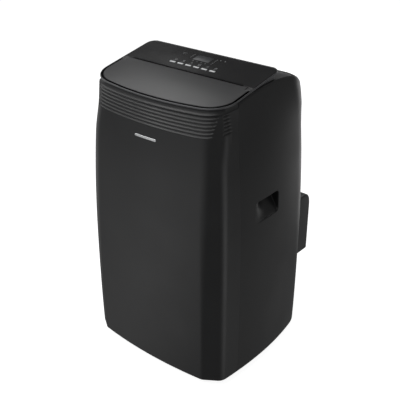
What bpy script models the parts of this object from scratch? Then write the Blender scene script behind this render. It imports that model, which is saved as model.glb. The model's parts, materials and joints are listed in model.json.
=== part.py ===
"""Portable air conditioner: a tapered plastic cabinet on four hidden casters,
with a sloping top that carries an outlet flap and a control deck, and an
exhaust hose adapter on the back.

Frame: metres, +Z up, the front faces -Y, the floor is z = 0 and the origin is
the middle of the bounding box's bottom.
"""
import math
import bpy
import bmesh
from mathutils import Vector

# ----------------------------------------------------------------- dimensions
BODY_W = 0.4354        # greatest width of the cabinet
BODY_D = 0.4073        # greatest depth of the cabinet, without the adapter
Z_BOTTOM = 0.020       # lower edge of the cabinet shell above the floor
Z_WALL = 0.6990        # top of the shell walls at the middle of the front
Z_WIDE = 0.1743        # height of the greatest width
TAPER_TOP = 0.0251     # inset of each side at the top
TAPER_TOP_EXP = 2.65
TAPER_BOT = 0.0013
Z_RIM = 0.704          # front edge of the sloping top
Z_TAPER = 0.7182       # height at which the full taper is reached
FACET_X = (0.0518, 0.0350)   # front corner chamfer, along x, bottom and top
FACET_Y = (0.0276, 0.0239)
FRONT_BOW = 0.0112     # how far the front bows forward
SIDE_BOW = 0.0131
REAR_R = 0.0728         # rear corner radius
RIM_R = 0.0576         # front corner radius at the rim
WALL = 0.0030          # shell thickness
GAP = 0.0004           # joint line between two shells
HALF_H = BODY_D / 2 - TAPER_TOP        # half depth at the rim
SEAM = 0.030           # width of the front panel's return on each side

SLOPE = 0.1975          # rise of the sloping top per metre towards the back
DECK_REAR = 0.0481      # y of the deck's rear edge
GAP_LINE = -0.0497     # y of the gap between the flap and the deck
FLAP_AXIS_Y = -0.0572
FLAP_AXIS_DROP = 0.0065
FLAP_T = 0.0030

RIB_COUNT = 6
RIB_PITCH = 0.0077
RIB_Z0 = 0.6470
RIB_DEPTH = 0.0014

ADAPT_X = (-0.023, 0.142)    # exhaust adapter box
ADAPT_Z = (0.159, 0.337)
ADAPT_Y = 0.300              # its rear face
ADAPT_CX = 0.5 * (ADAPT_X[0] + ADAPT_X[1])
ADAPT_CZ = 0.248
HOSE_R = 0.0635

HANDLE_Y = (-0.057, 0.034)
HANDLE_Z = (0.413, 0.467)

KEY_X0 = -0.0602
KEY_PITCH = 0.0235
KEY_Y = -0.0255
KEY_L = 0.0165
KEY_W = 0.0054
KEY_TRAVEL = 0.0008
DISP_X = (-0.0255, 0.0225)
DISP_Y = (0.0030, 0.0265)

CASTER_X = 0.132
CASTER_Y = (-0.118, 0.122)
WHEEL_R = 0.0180
WHEEL_W = 0.0150
CASTER_TRAIL = 0.0100

Y_SHIFT = -(ADAPT_Y - BODY_D / 2) / 2     # puts the bounding box's middle at 0

# ------------------------------------------------------------------ materials
COLOURS = {
    "shell": ((0.036, 0.037, 0.040), 0.46, 0.0),
    "shell_side": ((0.022, 0.023, 0.025), 0.48, 0.0),
    "flap": ((0.060, 0.062, 0.066), 0.34, 0.0),
    "deck": ((0.010, 0.010, 0.011), 0.22, 0.0),
    "grille": ((0.018, 0.018, 0.020), 0.55, 0.0),
    "key": ((0.80, 0.82, 0.84), 0.40, 0.0),
    "window": ((0.05, 0.055, 0.06), 0.08, 0.0),
    "filter": ((0.10, 0.12, 0.14), 0.80, 0.0),
    "inner": ((0.65, 0.66, 0.66), 0.60, 0.0),
    "foam": ((0.80, 0.80, 0.78), 0.90, 0.0),
    "aluminium": ((0.72, 0.73, 0.74), 0.35, 1.0),
    "steel": ((0.35, 0.36, 0.37), 0.40, 1.0),
    "paint": ((0.015, 0.015, 0.016), 0.45, 0.3),
    "copper": ((0.72, 0.38, 0.22), 0.30, 1.0),
    "board": ((0.02, 0.13, 0.06), 0.50, 0.0),
    "rubber": ((0.02, 0.02, 0.02), 0.75, 0.0),
    "badge": ((0.55, 0.56, 0.57), 0.35, 0.6),
}


def material(node, kind):
    colour, rough, metal = COLOURS[kind]
    m = bpy.data.materials.new(node)
    m.use_nodes = True
    p = m.node_tree.nodes["Principled BSDF"]
    p.inputs["Base Color"].default_value = (*colour, 1.0)
    p.inputs["Roughness"].default_value = rough
    p.inputs["Metallic"].default_value = metal
    m.diffuse_color = (*colour, 1.0)
    return m


# ----------------------------------------------------------- object utilities
def link(name, bm, origin=(0.0, 0.0, 0.0), smooth=0.6):
    """Make an object from a bmesh given in cabinet coordinates, its origin
    placed at the given point."""
    bmesh.ops.remove_doubles(bm, verts=bm.verts, dist=1e-6)
    bmesh.ops.recalc_face_normals(bm, faces=bm.faces)
    o = Vector(origin)
    for v in bm.verts:
        v.co -= o
    me = bpy.data.meshes.new(name)
    bm.to_mesh(me)
    bm.free()
    ob = bpy.data.objects.new(name, me)
    ob.location = o
    bpy.context.collection.objects.link(ob)
    me.shade_smooth()
    me.set_sharp_from_angle(angle=smooth)
    return ob


def boolean(ob, other, op="DIFFERENCE"):
    """Apply a Boolean of one object with another and drop the second."""
    mod = ob.modifiers.new("b", "BOOLEAN")
    mod.operation = op
    mod.solver = "EXACT"
    mod.object = other
    dg = bpy.context.evaluated_depsgraph_get()
    me = bpy.data.meshes.new_from_object(ob.evaluated_get(dg))
    ob.modifiers.clear()
    old = ob.data
    ob.data = me
    bpy.data.meshes.remove(old)
    om = other.data
    bpy.data.objects.remove(other)
    bpy.data.meshes.remove(om)
    clean(ob)
    return ob


def clean(ob, angle=0.6):
    bm = bmesh.new()
    bm.from_mesh(ob.data)
    bmesh.ops.remove_doubles(bm, verts=bm.verts, dist=1e-6)
    bmesh.ops.dissolve_degenerate(bm, edges=bm.edges, dist=1e-6)
    bm.to_mesh(ob.data)
    bm.free()
    ob.data.shade_smooth()
    ob.data.set_sharp_from_angle(angle=angle)


def add_box(bm, x0, x1, y0, y1, z0, z1):
    vs = [bm.verts.new((x, y, z)) for z in (z0, z1) for y in (y0, y1) for x in (x0, x1)]
    for f in ((0, 2, 3, 1), (4, 5, 7, 6), (0, 1, 5, 4), (2, 6, 7, 3), (0, 4, 6, 2), (1, 3, 7, 5)):
        bm.faces.new([vs[i] for i in f])
    return vs


def box(name, x0, x1, y0, y1, z0, z1, bevel=0.0, origin=None):
    bm = bmesh.new()
    add_box(bm, x0, x1, y0, y1, z0, z1)
    bmesh.ops.recalc_face_normals(bm, faces=bm.faces)
    if bevel:
        bmesh.ops.bevel(bm, geom=bm.edges[:], offset=bevel, segments=2, profile=0.5, affect="EDGES")
    if origin is None:
        origin = ((x0 + x1) / 2, (y0 + y1) / 2, (z0 + z1) / 2)
    return link(name, bm, origin)


def loft(bm, rings, close=True):
    """Skin a list of rings, each a closed loop of the same length, and cap
    both ends."""
    loops = [[bm.verts.new(p) for p in r] for r in rings]
    n = len(loops[0])
    for a, b in zip(loops, loops[1:]):
        for i in range(n):
            j = (i + 1) % n
            bm.faces.new((a[i], a[j], b[j], b[i]))
    if close:
        bm.faces.new(list(reversed(loops[0])))
        bm.faces.new(loops[-1])
    return loops


def turned(name, profile, centre, axis="Z", n=24, phase=0.0, origin=None):
    """Solid of revolution from (radius, height) pairs along an axis."""
    bm = bmesh.new()
    rings = []
    for r, h in profile:
        ring = []
        for i in range(n):
            a = 2 * math.pi * i / n + phase
            c, s = r * math.cos(a), r * math.sin(a)
            if axis == "Z":
                p = (centre[0] + c, centre[1] + s, centre[2] + h)
            elif axis == "Y":
                p = (centre[0] + c, centre[1] + h, centre[2] + s)
            else:
                p = (centre[0] + h, centre[1] + c, centre[2] + s)
            ring.append(p)
        rings.append(ring)
    loft(bm, rings)
    return link(name, bm, origin if origin is not None else centre)


def plane_z(y):
    """Height of the sloping top."""
    return Z_RIM + SLOPE * (y + HALF_H)


def rim_z(y):
    """Height of the shell walls' top edge."""
    ya, yb = -0.095, 0.030
    za = Z_WALL + SLOPE * (ya + HALF_H)
    zb = 0.7280
    if y <= ya:
        return Z_WALL + SLOPE * (y + HALF_H)
    if y <= yb:
        t = (y - ya) / (yb - ya)
        m0 = SLOPE * (yb - ya)
        return (2 * t ** 3 - 3 * t ** 2 + 1) * za + (t ** 3 - 2 * t ** 2 + t) * m0 + (3 * t ** 2 - 2 * t ** 3) * zb
    return zb - 0.0055 * ((y - yb) / 0.065) ** 2


def smooth(t):
    t = min(1.0, max(0.0, t))
    return t * t * (3 - 2 * t)


def taper(z):
    up = max(0.0, (z - Z_WIDE) / (Z_TAPER - Z_WIDE))
    dn = max(0.0, (Z_WIDE - z) / (Z_WIDE - Z_BOTTOM))
    return TAPER_TOP * up ** TAPER_TOP_EXP + TAPER_BOT * dn ** 2


N_FRONT, N_CORNER, N_SIDE, N_REAR = 5, 4, 6, 5
I_A = N_FRONT                       # front end of the corner facet
I_B = I_A + N_CORNER                # its side end
I_SEAM = I_B + 1                    # joint between front and side panels
I_C = I_B + N_SIDE                  # start of the rear corner
I_D = I_C + N_REAR                  # end of the rear corner
I_REAR = I_D + 1                    # joint between side and rear panels
I_MID = I_REAR + 1                  # middle of the back


def right_half(z):
    """Points of the cabinet's outline at a height, from the middle of the
    front round the right side to the middle of the back."""
    t = taper(z)
    w, h = BODY_W / 2 - t, BODY_D / 2 - t
    u = min(1.0, max(0.0, (z - Z_BOTTOM) / (Z_TAPER - Z_BOTTOM)))
    s = max(0.0, (u - 0.25) / 0.75) ** 2
    fx = FACET_X[0] + (FACET_X[1] - FACET_X[0]) * s
    fy = FACET_Y[0] + (FACET_Y[1] - FACET_Y[0]) * s
    m = smooth((z - 0.5746) / 0.1436)
    yf = -h + FRONT_BOW
    ax = (w - fx) + (fx - RIM_R) * m
    by = yf + fy + (RIM_R - fy) * m
    bow = SIDE_BOW * (1 - m)
    pts = []
    for i in range(N_FRONT + 1):
        x = ax * i / N_FRONT
        pts.append((x, -h + FRONT_BOW * (x / ax) ** 2))
    bx = w - bow
    for i in range(1, N_CORNER + 1):
        k = i / N_CORNER
        fxp, fyp = ax + (bx - ax) * k, yf + (by - yf) * k
        th = k * math.pi / 2
        cx, cy = w - RIM_R + RIM_R * math.sin(th), yf + RIM_R * (1 - math.cos(th))
        pts.append((fxp + (cx - fxp) * m, fyp + (cy - fyp) * m))
    y1 = h - REAR_R
    mid, half = (by + y1) / 2, (y1 - by) / 2
    seam_y = -HALF_H + FRONT_BOW + FACET_Y[1] + SEAM + 0.004
    seam_y = max(seam_y, by + 0.006)
    ys = [seam_y + (y1 - seam_y) * k / (N_SIDE - 1) for k in range(N_SIDE)]
    for y in ys:
        pts.append((w - bow * ((y - mid) / half) ** 2, y))
    xe = pts[-1][0] - REAR_R
    for i in range(1, N_REAR + 1):
        th = math.pi / 2 * i / N_REAR
        pts.append((xe + REAR_R * math.cos(th), y1 + REAR_R * math.sin(th)))
    pts.append((xe - 0.008, h))
    pts.append((0.0, h))
    return pts


def outline(z, inset=0.0):
    """Closed outline, counter-clockwise from the middle of the front."""
    r = right_half(z)
    pts = r + [(-x, y) for x, y in reversed(r[1:-1])]
    if not inset:
        return pts
    n = len(pts)
    out = []
    for i in range(n):
        a, b, c = Vector(pts[i - 1]), Vector(pts[i]), Vector(pts[(i + 1) % n])
        n1 = Vector(((b - a).y, -(b - a).x)).normalized()
        n2 = Vector(((c - b).y, -(c - b).x)).normalized()
        m = (n1 + n2).normalized()
        k = inset / max(0.5, m.dot(n1))
        out.append((b.x - m.x * k, b.y - m.y * k))
    return out


N_RING = 2 * I_MID


def lifted(x, y, z):
    """Carry a nominal height up to the sloping rim near the top."""
    return (x, y, z + (rim_z(y) - Z_WALL) * smooth((z - 0.60) / (Z_WALL - 0.60)))


def wall(name, i0, i1, outer_levels, inner_levels):
    """A piece of the shell between two stations of the outline. Levels are
    (height, inset function of the station)."""
    bm = bmesh.new()

    def row(z, inset_fn, base):
        o = outline(z, base)
        pts = []
        idx = list(range(i0, i1 + 1))
        for i in idx:
            extra = inset_fn(i)
            p = Vector(o[i % N_RING])
            if extra:
                q = Vector(outline(z, base + extra)[i % N_RING])
                p = q
            pts.append(p)
        for a, b in ((0, 1), (-1, -2)):
            d = (pts[b] - pts[a]).normalized()
            pts[a] = pts[a] + d * GAP / 2
        return [bm.verts.new(lifted(p.x, p.y, z)) for p in pts]

    outer = [row(z, fn, 0.0) for z, fn in outer_levels]
    inner = [row(z, lambda i: 0.0, WALL) for z in inner_levels]
    n = i1 - i0 + 1
    for rows, flip in ((outer, False), (inner, True)):
        for a, b in zip(rows, rows[1:]):
            for i in range(n - 1):
                q = (a[i], a[i + 1], b[i + 1], b[i])
                bm.faces.new(tuple(reversed(q)) if flip else q)
    for i in range(n - 1):
        bm.faces.new((outer[0][i + 1], outer[0][i], inner[0][i], inner[0][i + 1]))
        bm.faces.new((outer[-1][i], outer[-1][i + 1], inner[-1][i + 1], inner[-1][i]))
    bm.faces.new([r[0] for r in reversed(inner)] + [r[0] for r in outer])
    bm.faces.new([r[-1] for r in reversed(outer)] + [r[-1] for r in inner])
    bmesh.ops.recalc_face_normals(bm, faces=bm.faces)
    bmesh.ops.triangulate(bm, faces=[f for f in bm.faces if len(f.verts) > 4])
    return link(name, bm, (0, 0, 0), smooth=0.5)


def flat_prism(bm, poly, zb, zt):
    """Upright prism on a polygon between two height functions of (x, y)."""
    lo = [bm.verts.new((x, y, zb(x, y))) for x, y in poly]
    hi = [bm.verts.new((x, y, zt(x, y))) for x, y in poly]
    n = len(poly)
    bm.faces.new(list(reversed(lo)))
    bm.faces.new(hi)
    for i in range(n):
        j = (i + 1) % n
        bm.faces.new((lo[i], lo[j], hi[j], hi[i]))


def prism(name, poly, zb, zt, origin=(0, 0, 0)):
    bm = bmesh.new()
    flat_prism(bm, poly, zb, zt)
    return link(name, bm, origin)


def clip(poly, lo=-9.0, hi=9.0):
    """Keep the part of a polygon with lo <= y <= hi."""
    for lim, sign in ((lo, 1), (hi, -1)):
        out = []
        n = len(poly)
        for i in range(n):
            a, b = poly[i], poly[(i + 1) % n]
            da, db = sign * (a[1] - lim), sign * (b[1] - lim)
            if da >= 0:
                out.append(a)
            if (da > 0 > db) or (da < 0 < db):
                t = da / (da - db)
                out.append((a[0] + (b[0] - a[0]) * t, lim))
        poly = out
    return poly


def off(d):
    return lambda x, y: plane_z(y) + d


NRM = Vector((0, -SLOPE, 1)).normalized()
UP = Vector((0, 1, SLOPE)).normalized()


def deck_box(name, x0, x1, y0, y1, w0, w1, bevel=0.0):
    """Box square to the sloping top: y is where its ends cross the plane and
    w its height above it."""
    bm = bmesh.new()
    pts = []
    for w in (w0, w1):
        for y in (y0, y1):
            for x in (x0, x1):
                pts.append(Vector((x, y, plane_z(y))) + NRM * w)
    vs = [bm.verts.new(p) for p in pts]
    for f in ((0, 2, 3, 1), (4, 5, 7, 6), (0, 1, 5, 4), (2, 6, 7, 3), (0, 4, 6, 2), (1, 3, 7, 5)):
        bm.faces.new([vs[i] for i in f])
    bmesh.ops.recalc_face_normals(bm, faces=bm.faces)
    if bevel:
        bmesh.ops.bevel(bm, geom=bm.edges[:], offset=bevel, segments=2, profile=0.5, affect="EDGES")
    c = sum(pts, Vector()) / 8
    return link(name, bm, c)


def tube(name, pts, r, n=10):
    """Round tube along a smooth path of points."""
    bm = bmesh.new()
    P = [Vector(p) for p in pts]
    rings = []
    ref = Vector((0, 0, 1)) if abs((P[1] - P[0]).normalized().z) < 0.9 else Vector((1, 0, 0))
    for i, p in enumerate(P):
        t = (P[min(i + 1, len(P) - 1)] - P[max(i - 1, 0)]).normalized()
        a = ref - t * ref.dot(t)
        a.normalize()
        ref = a
        b = t.cross(a)
        rings.append([p + a * (r * math.cos(2 * math.pi * k / n)) + b * (r * math.sin(2 * math.pi * k / n)) for k in range(n)])
    loft(bm, rings)
    return link(name, bm, P[0])


def arc_path(corners, radius, steps=4):
    """Polyline through corner points with the corners rounded."""
    C = [Vector(c) for c in corners]
    out = [C[0]]
    for a, b, c in zip(C, C[1:], C[2:]):
        u, v = (a - b).normalized(), (c - b).normalized()
        for k in range(steps + 1):
            t = k / steps
            p0, p2 = b + u * radius, b + v * radius
            out.append((1 - t) ** 2 * p0 + 2 * t * (1 - t) * b + t ** 2 * p2)
    out.append(C[-1])
    return out


# ----------------------------------------------------------------- start clean
for ob in list(bpy.data.objects):
    bpy.data.objects.remove(ob)

NONE = lambda i: 0.0
coarse = [Z_BOTTOM, 0.08, Z_WIDE, 0.30, 0.40, 0.47, 0.53, 0.58, 0.62, 0.645]
inner = [Z_BOTTOM, Z_WIDE, 0.30, 0.40, 0.47, 0.53, 0.58, 0.62, 0.660, Z_WALL]


# ------------------------------------------------------------------ shell walls
def rib_inset(depth):
    """Ribs run across the front and as short stubs on the side returns, and
    leave the corner facets plain."""
    def fn(i):
        k = abs(i)
        return depth if (k < I_A or k in (I_B, I_SEAM)) else 0.0
    return fn


levels = [(z, NONE) for z in coarse]
for k in range(RIB_COUNT):
    zc = RIB_Z0 + RIB_PITCH * k
    levels += [(zc - 0.0025, NONE), (zc - 0.0008, rib_inset(0.35 * RIB_DEPTH)), (zc + 0.0006, rib_inset(RIB_DEPTH)), (zc + 0.0012, rib_inset(RIB_DEPTH)), (zc + 0.0020, NONE)]
levels += [(0.6930, lambda i: 0.0006), (Z_WALL, lambda i: 0.0016)]
front = wall("front_panel", -I_SEAM, I_SEAM, levels, inner)
plain = [(z, NONE) for z in coarse] + [(0.670, NONE), (0.6950, NONE), (Z_WALL, lambda i: 0.0010)]
right = wall("right_side_panel", I_SEAM, I_REAR, plain, inner)
left = wall("left_side_panel", -I_REAR, -I_SEAM, plain, inner)
rear = wall("rear_panel", I_REAR, N_RING - I_REAR, plain, inner)

# windows in the side panels for the handle cups
for ob, s in ((right, 1), (left, -1)):
    cut = box("c", min(s * 0.19, s * 0.23), max(s * 0.19, s * 0.23), HANDLE_Y[0], HANDLE_Y[1], HANDLE_Z[0], HANDLE_Z[1])
    bm = bmesh.new()
    bm.from_mesh(cut.data)
    ed = [e for e in bm.edges if abs((e.verts[0].co - e.verts[1].co).normalized().x) > 0.9]
    bmesh.ops.bevel(bm, geom=ed, offset=0.009, segments=3, profile=0.5, affect="EDGES")
    bm.to_mesh(cut.data)
    bm.free()
    boolean(ob, cut)

# openings in the rear panel
HR = BODY_D / 2
UP_GRILLE = (-0.105, 0.105, 0.405, 0.625)
LO_GRILLE = (-0.118, -0.040, 0.075, 0.330)
for x0, x1, z0, z1 in (UP_GRILLE, LO_GRILLE):
    boolean(rear, box("c", x0, x1, HR - 0.06, HR + 0.02, z0, z1))
boolean(rear, turned("c", [(HOSE_R + 0.0005, -0.05), (HOSE_R + 0.0005, 0.05)], (ADAPT_CX, HR - 0.01, ADAPT_CZ), axis="Y", n=32))
boolean(rear, turned("c", [(0.0065, -0.05), (0.0065, 0.05)], (-0.08, HR, 0.365), axis="Y", n=16))
boolean(rear, turned("c", [(0.0065, -0.05), (0.0065, 0.05)], (0.10, HR, 0.052), axis="Y", n=16))
boolean(rear, turned("c", [(0.0075, -0.05), (0.0075, 0.05)], (0.108, HR, 0.115), axis="Y", n=16))


# ------------------------------------------------------------------- base pan
def at(z, inset):
    return outline(z, inset)


base = prism("base_pan", at(0.03, WALL + 0.0005), lambda x, y: 0.0205, lambda x, y: 0.040)
boolean(base, prism("c", at(0.03, WALL + 0.0035), lambda x, y: 0.0240, lambda x, y: 0.070))
for cx in (-CASTER_X, CASTER_X):
    for cy in CASTER_Y:
        boolean(base, turned("c", [(0.0370, 0.0215), (0.0370, 0.0530)], (cx, cy, 0), n=24), "UNION")
        boolean(base, turned("c", [(0.0340, 0.0100), (0.0340, 0.0500)], (cx, cy, 0), n=24))
        boolean(base, turned("c", [(0.0060, 0.0400), (0.0060, 0.0600)], (cx, cy, 0), n=16))


# -------------------------------------------------------------------- casters
def caster(tag, cx, cy):
    """Hooded swivel fork with a stem, and its wheel on an axle along x."""
    bm = bmesh.new()
    fy = cy + CASTER_TRAIL
    rings = []
    # top disc and stem
    for r, z in ((0.0055, 0.0550), (0.0055, 0.0492), (0.0160, 0.0492), (0.0160, 0.0452)):
        rings.append([(cx + r * math.cos(2 * math.pi * k / 20), cy + r * math.sin(2 * math.pi * k / 20), z) for k in range(20)])
    loft(bm, rings)
    fork = link("caster_fork_" + tag, bm, (cx, cy, 0.0492))
    for s in (-1, 1):
        bm = bmesh.new()
        x0, x1 = sorted((cx + s * (WHEEL_W / 2 + 0.0006), cx + s * (WHEEL_W / 2 + 0.0026)))
        prof = [(cy - 0.0120, 0.0456), (cy + 0.0120, 0.0456), (fy + 0.0070, 0.0180), (fy + 0.0040, 0.0120), (fy - 0.0040, 0.0120), (fy - 0.0080, 0.0180)]
        loft(bm, [[(x0, y, z) for y, z in prof], [(x1, y, z) for y, z in prof]])
        ear = link("e", bm, (cx, cy, 0.03))
        boolean(fork, ear, "UNION")
    boolean(fork, turned("c", [(0.0022, -WHEEL_W / 2 - 0.0020), (0.0022, WHEEL_W / 2 + 0.0020)], (cx, fy, WHEEL_R), axis="X", n=12), "UNION")
    wheel = turned("caster_wheel_" + tag, [(WHEEL_R - 0.0020, -WHEEL_W / 2), (WHEEL_R, -WHEEL_W / 2 + 0.0025), (WHEEL_R, WHEEL_W / 2 - 0.0025), (WHEEL_R - 0.0020, WHEEL_W / 2)], (cx, fy, WHEEL_R), axis="X", n=24, phase=math.pi / 2)
    boolean(wheel, turned("c", [(0.0026, -0.02), (0.0026, 0.02)], (cx, fy, WHEEL_R), axis="X", n=12))
    return fork, wheel


for tag, cx, cy in (("front_left", -CASTER_X, CASTER_Y[0]), ("front_right", CASTER_X, CASTER_Y[0]),
                    ("rear_left", -CASTER_X, CASTER_Y[1]), ("rear_right", CASTER_X, CASTER_Y[1])):
    caster(tag, cx, cy)


# ------------------------------------------------------------------ top cover
REAR_ROUND = 0.022


def top_poly(inset, lo=-9.0, hi=9.0, rounded=False):
    """Plan of the sloping top, inset from its edge, with the two rear corners
    rounded where asked."""
    p = clip(outline(Z_TAPER, inset), lo=lo, hi=hi)
    if not rounded:
        return p
    xr = max(q[0] for q in p)
    rc = max(0.004, REAR_ROUND - inset)
    arc = [(xr - rc + rc * math.cos(math.pi / 2 * k / 6), hi - rc + rc * math.sin(math.pi / 2 * k / 6)) for k in range(7)]
    keep = [q for q in p if q[1] < hi - rc - 0.0005]
    mid = [q for q in keep if abs(q[0]) < 1e-6 and q[1] < -0.1]
    rt = sorted([q for q in keep if q[0] > 1e-6], key=lambda q: q[1])
    lt = sorted([q for q in keep if q[0] < -1e-6], key=lambda q: -q[1])
    return mid + rt + arc + [(-x, y) for x, y in reversed(arc)] + lt


top = prism("top_cover", top_poly(0.0, hi=DECK_REAR, rounded=True), off(-0.0045), off(0.0))
boolean(top, prism("c", top_poly(WALL + 0.0006, hi=DECK_REAR - 0.003, rounded=True), off(-0.024), off(-0.0040)), "UNION")
boolean(top, prism("c", top_poly(0.0062, hi=GAP_LINE + 0.0035), off(-0.0130), off(0.01)))
boolean(top, prism("c", top_poly(0.0026, hi=GAP_LINE - 0.0005), off(-0.0038), off(0.01)))
boolean(top, prism("c", top_poly(0.0016, lo=GAP_LINE + 0.0015, hi=DECK_REAR - 0.0016, rounded=True), off(-0.0034), off(0.01)))
# hollow under the deck
boolean(top, prism("c", top_poly(0.0066, lo=GAP_LINE + 0.0060, hi=DECK_REAR - 0.0060, rounded=True), off(-0.05), off(-0.0062)))
# windows for the keys and the display, and the outlet throat
boolean(top, deck_box("c", KEY_X0 - 0.012, KEY_X0 + 5 * KEY_PITCH + 0.012, KEY_Y - 0.0045, KEY_Y + 0.0045, -0.012, 0.004))
THROAT = (-0.146, 0.146, -0.148, -0.072)
boolean(top, prism("c", [(THROAT[0], THROAT[2]), (THROAT[1], THROAT[2]), (THROAT[1], THROAT[3]), (THROAT[0], THROAT[3])], off(-0.05), off(0.02)))

# rear shoulder: curved plate from the deck's drop down to the back
bm = bmesh.new()
rings = []
ys = [DECK_REAR - 0.0020 + (HALF_H - 0.0014 - DECK_REAR) * math.sin(math.pi / 2 * k / 10) for k in range(11)]
halfx = {}
for y in ys:
    ring_pts = outline(Z_WALL, WALL + 0.0006)
    xs = []
    for a, b in zip(ring_pts, ring_pts[1:] + ring_pts[:1]):
        if (a[1] - y) * (b[1] - y) <= 0 and a[1] != b[1] and max(a[0], b[0]) > 0:
            xs.append(a[0] + (b[0] - a[0]) * (y - a[1]) / (b[1] - a[1]))
    x = max(xs) if xs else 0.11
    zt = rim_z(y) + 0.0012
    rings.append([(-x, y, zt - 0.0032), (x, y, zt - 0.0032), (x, y, zt), (x * 0.5, y, zt + 0.0004), (-x * 0.5, y, zt + 0.0004), (-x, y, zt)])
loft(bm, rings)
link("rear_shoulder", bm, (0, 0, 0))


# ---------------------------------------------------------------- outlet flap
AX = Vector((0.0, FLAP_AXIS_Y, plane_z(FLAP_AXIS_Y) - FLAP_AXIS_DROP))
flap = prism("louver_flap", clip(outline(Z_TAPER, 0.0040), hi=GAP_LINE - 0.0015), off(-FLAP_T), off(0.0006))
boolean(flap, prism("c", clip(outline(Z_TAPER, 0.016), lo=-0.30, hi=-0.068), off(-0.0070), off(-FLAP_T + 0.0008)), "UNION")
boolean(flap, prism("c", clip(outline(Z_TAPER, 0.018), lo=-0.30, hi=-0.070), off(-0.0100), off(-FLAP_T)))
for s in (-1, 1):
    # the rear corners are notched so that they clear the cover's ledge
    boolean(flap, box("c", min(s * 0.1790, s * 0.2100), max(s * 0.1790, s * 0.2100), FLAP_AXIS_Y - 0.0060, 0.0, 0.66, 0.78))
    # hinge ears with pins
    boolean(flap, box("c", min(s * 0.164, s * 0.168), max(s * 0.164, s * 0.168), AX.y - 0.0030, AX.y + 0.0030, AX.z - 0.0030, AX.z + 0.0045), "UNION")
    boolean(flap, turned("c", [(0.0018, 0.0), (0.0018, 0.0070)] if s > 0 else [(0.0018, -0.0070), (0.0018, 0.0)], (s * 0.1665, AX.y, AX.z), axis="X", n=12), "UNION")
    # brackets on the cover that hold the pins
    x0, x1 = sorted((s * 0.1695, s * 0.1730))
    br = box("c", x0, x1, AX.y - 0.0045, AX.y + 0.0028, AX.z - 0.0085, AX.z + 0.0012)
    boolean(top, br, "UNION")
    boolean(top, turned("c", [(0.0022, -0.006), (0.0022, 0.006)], (s * 0.171, AX.y, AX.z), axis="X", n=12))
me = flap.data
for v in me.vertices:
    v.co -= AX
flap.location = AX

# -------------------------------------------------- throat, vanes and their link
TZ0 = 0.640
TW = 0.0025
tf = prism("air_outlet_frame", [(THROAT[0] + 0.0004, THROAT[2] + 0.0004), (THROAT[1] - 0.0004, THROAT[2] + 0.0004), (THROAT[1] - 0.0004, THROAT[3] - 0.0004), (THROAT[0] + 0.0004, THROAT[3] - 0.0004)],
           lambda x, y: TZ0, off(-0.0132))
boolean(tf, prism("c", [(THROAT[0] + TW, THROAT[2] + TW), (THROAT[1] - TW, THROAT[2] + TW), (THROAT[1] - TW, THROAT[3] - TW), (THROAT[0] + TW, THROAT[3] - TW)],
                  lambda x, y: TZ0 - 0.01, off(0.01)))
VANE_Z = 0.670
VANE_Y = 0.5 * (THROAT[2] + THROAT[3])
VANE_X = [-0.1125 + 0.045 * k for k in range(6)]
hy = (THROAT[3] - THROAT[2]) / 2 - TW
for vx in VANE_X:
    boolean(tf, turned("c", [(0.0019, -0.06), (0.0019, 0.06)], (vx, VANE_Y, VANE_Z), axis="Y", n=10))
for k, vx in enumerate(VANE_X):
    v = box("vane_%d" % (k + 1), vx - 0.0008, vx + 0.0008, VANE_Y - hy + 0.0025, VANE_Y + hy - 0.0025, VANE_Z - 0.0130, VANE_Z + 0.0110, origin=(vx, VANE_Y, VANE_Z))
    boolean(v, turned("c", [(0.0014, -hy - TW + 0.0006), (0.0014, hy + TW - 0.0006)], (vx, VANE_Y, VANE_Z), axis="Y", n=10), "UNION")
lk = box("vane_link", VANE_X[0] - 0.008, VANE_X[-1] + 0.008, VANE_Y - 0.004, VANE_Y + 0.004, VANE_Z - 0.0185, VANE_Z - 0.0100)
for vx in VANE_X:
    boolean(lk, box("c", vx - 0.0026, vx + 0.0026, VANE_Y - 0.006, VANE_Y + 0.006, VANE_Z - 0.0142, VANE_Z + 0.001))
box("flap_motor", 0.150, 0.1660, -0.100, -0.076, 0.6580, 0.6860, bevel=0.0015)

# ------------------------------------------------------------------- the deck
cp_poly = top_poly(0.0020, lo=GAP_LINE + 0.0020, hi=DECK_REAR - 0.0020, rounded=True)
deck = prism("control_panel", cp_poly, off(-0.0030), off(0.0))
for k in range(6):
    kx = KEY_X0 + KEY_PITCH * k
    boolean(deck, deck_box("c", kx - KEY_L / 2, kx + KEY_L / 2, KEY_Y - KEY_W / 2, KEY_Y + KEY_W / 2, -0.01, 0.01))
boolean(deck, deck_box("c", DISP_X[0], DISP_X[1], DISP_Y[0], DISP_Y[1], -0.0015, 0.01))
deck_box("display_window", DISP_X[0] + 0.0003, DISP_X[1] - 0.0003, DISP_Y[0] + 0.0003, DISP_Y[1] - 0.0003, -0.0012, 0.0003, bevel=0.0003)
for k in range(6):
    kx = KEY_X0 + KEY_PITCH * k
    g = 0.0004
    deck_box("key_%d" % (k + 1), kx - KEY_L / 2 + g, kx + KEY_L / 2 - g, KEY_Y - KEY_W / 2 + g, KEY_Y + KEY_W / 2 - g, -0.0080, 0.0009, bevel=0.0004)
deck_box("control_board", -0.085, 0.085, -0.036, 0.034, -0.0115, -0.0098)

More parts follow.
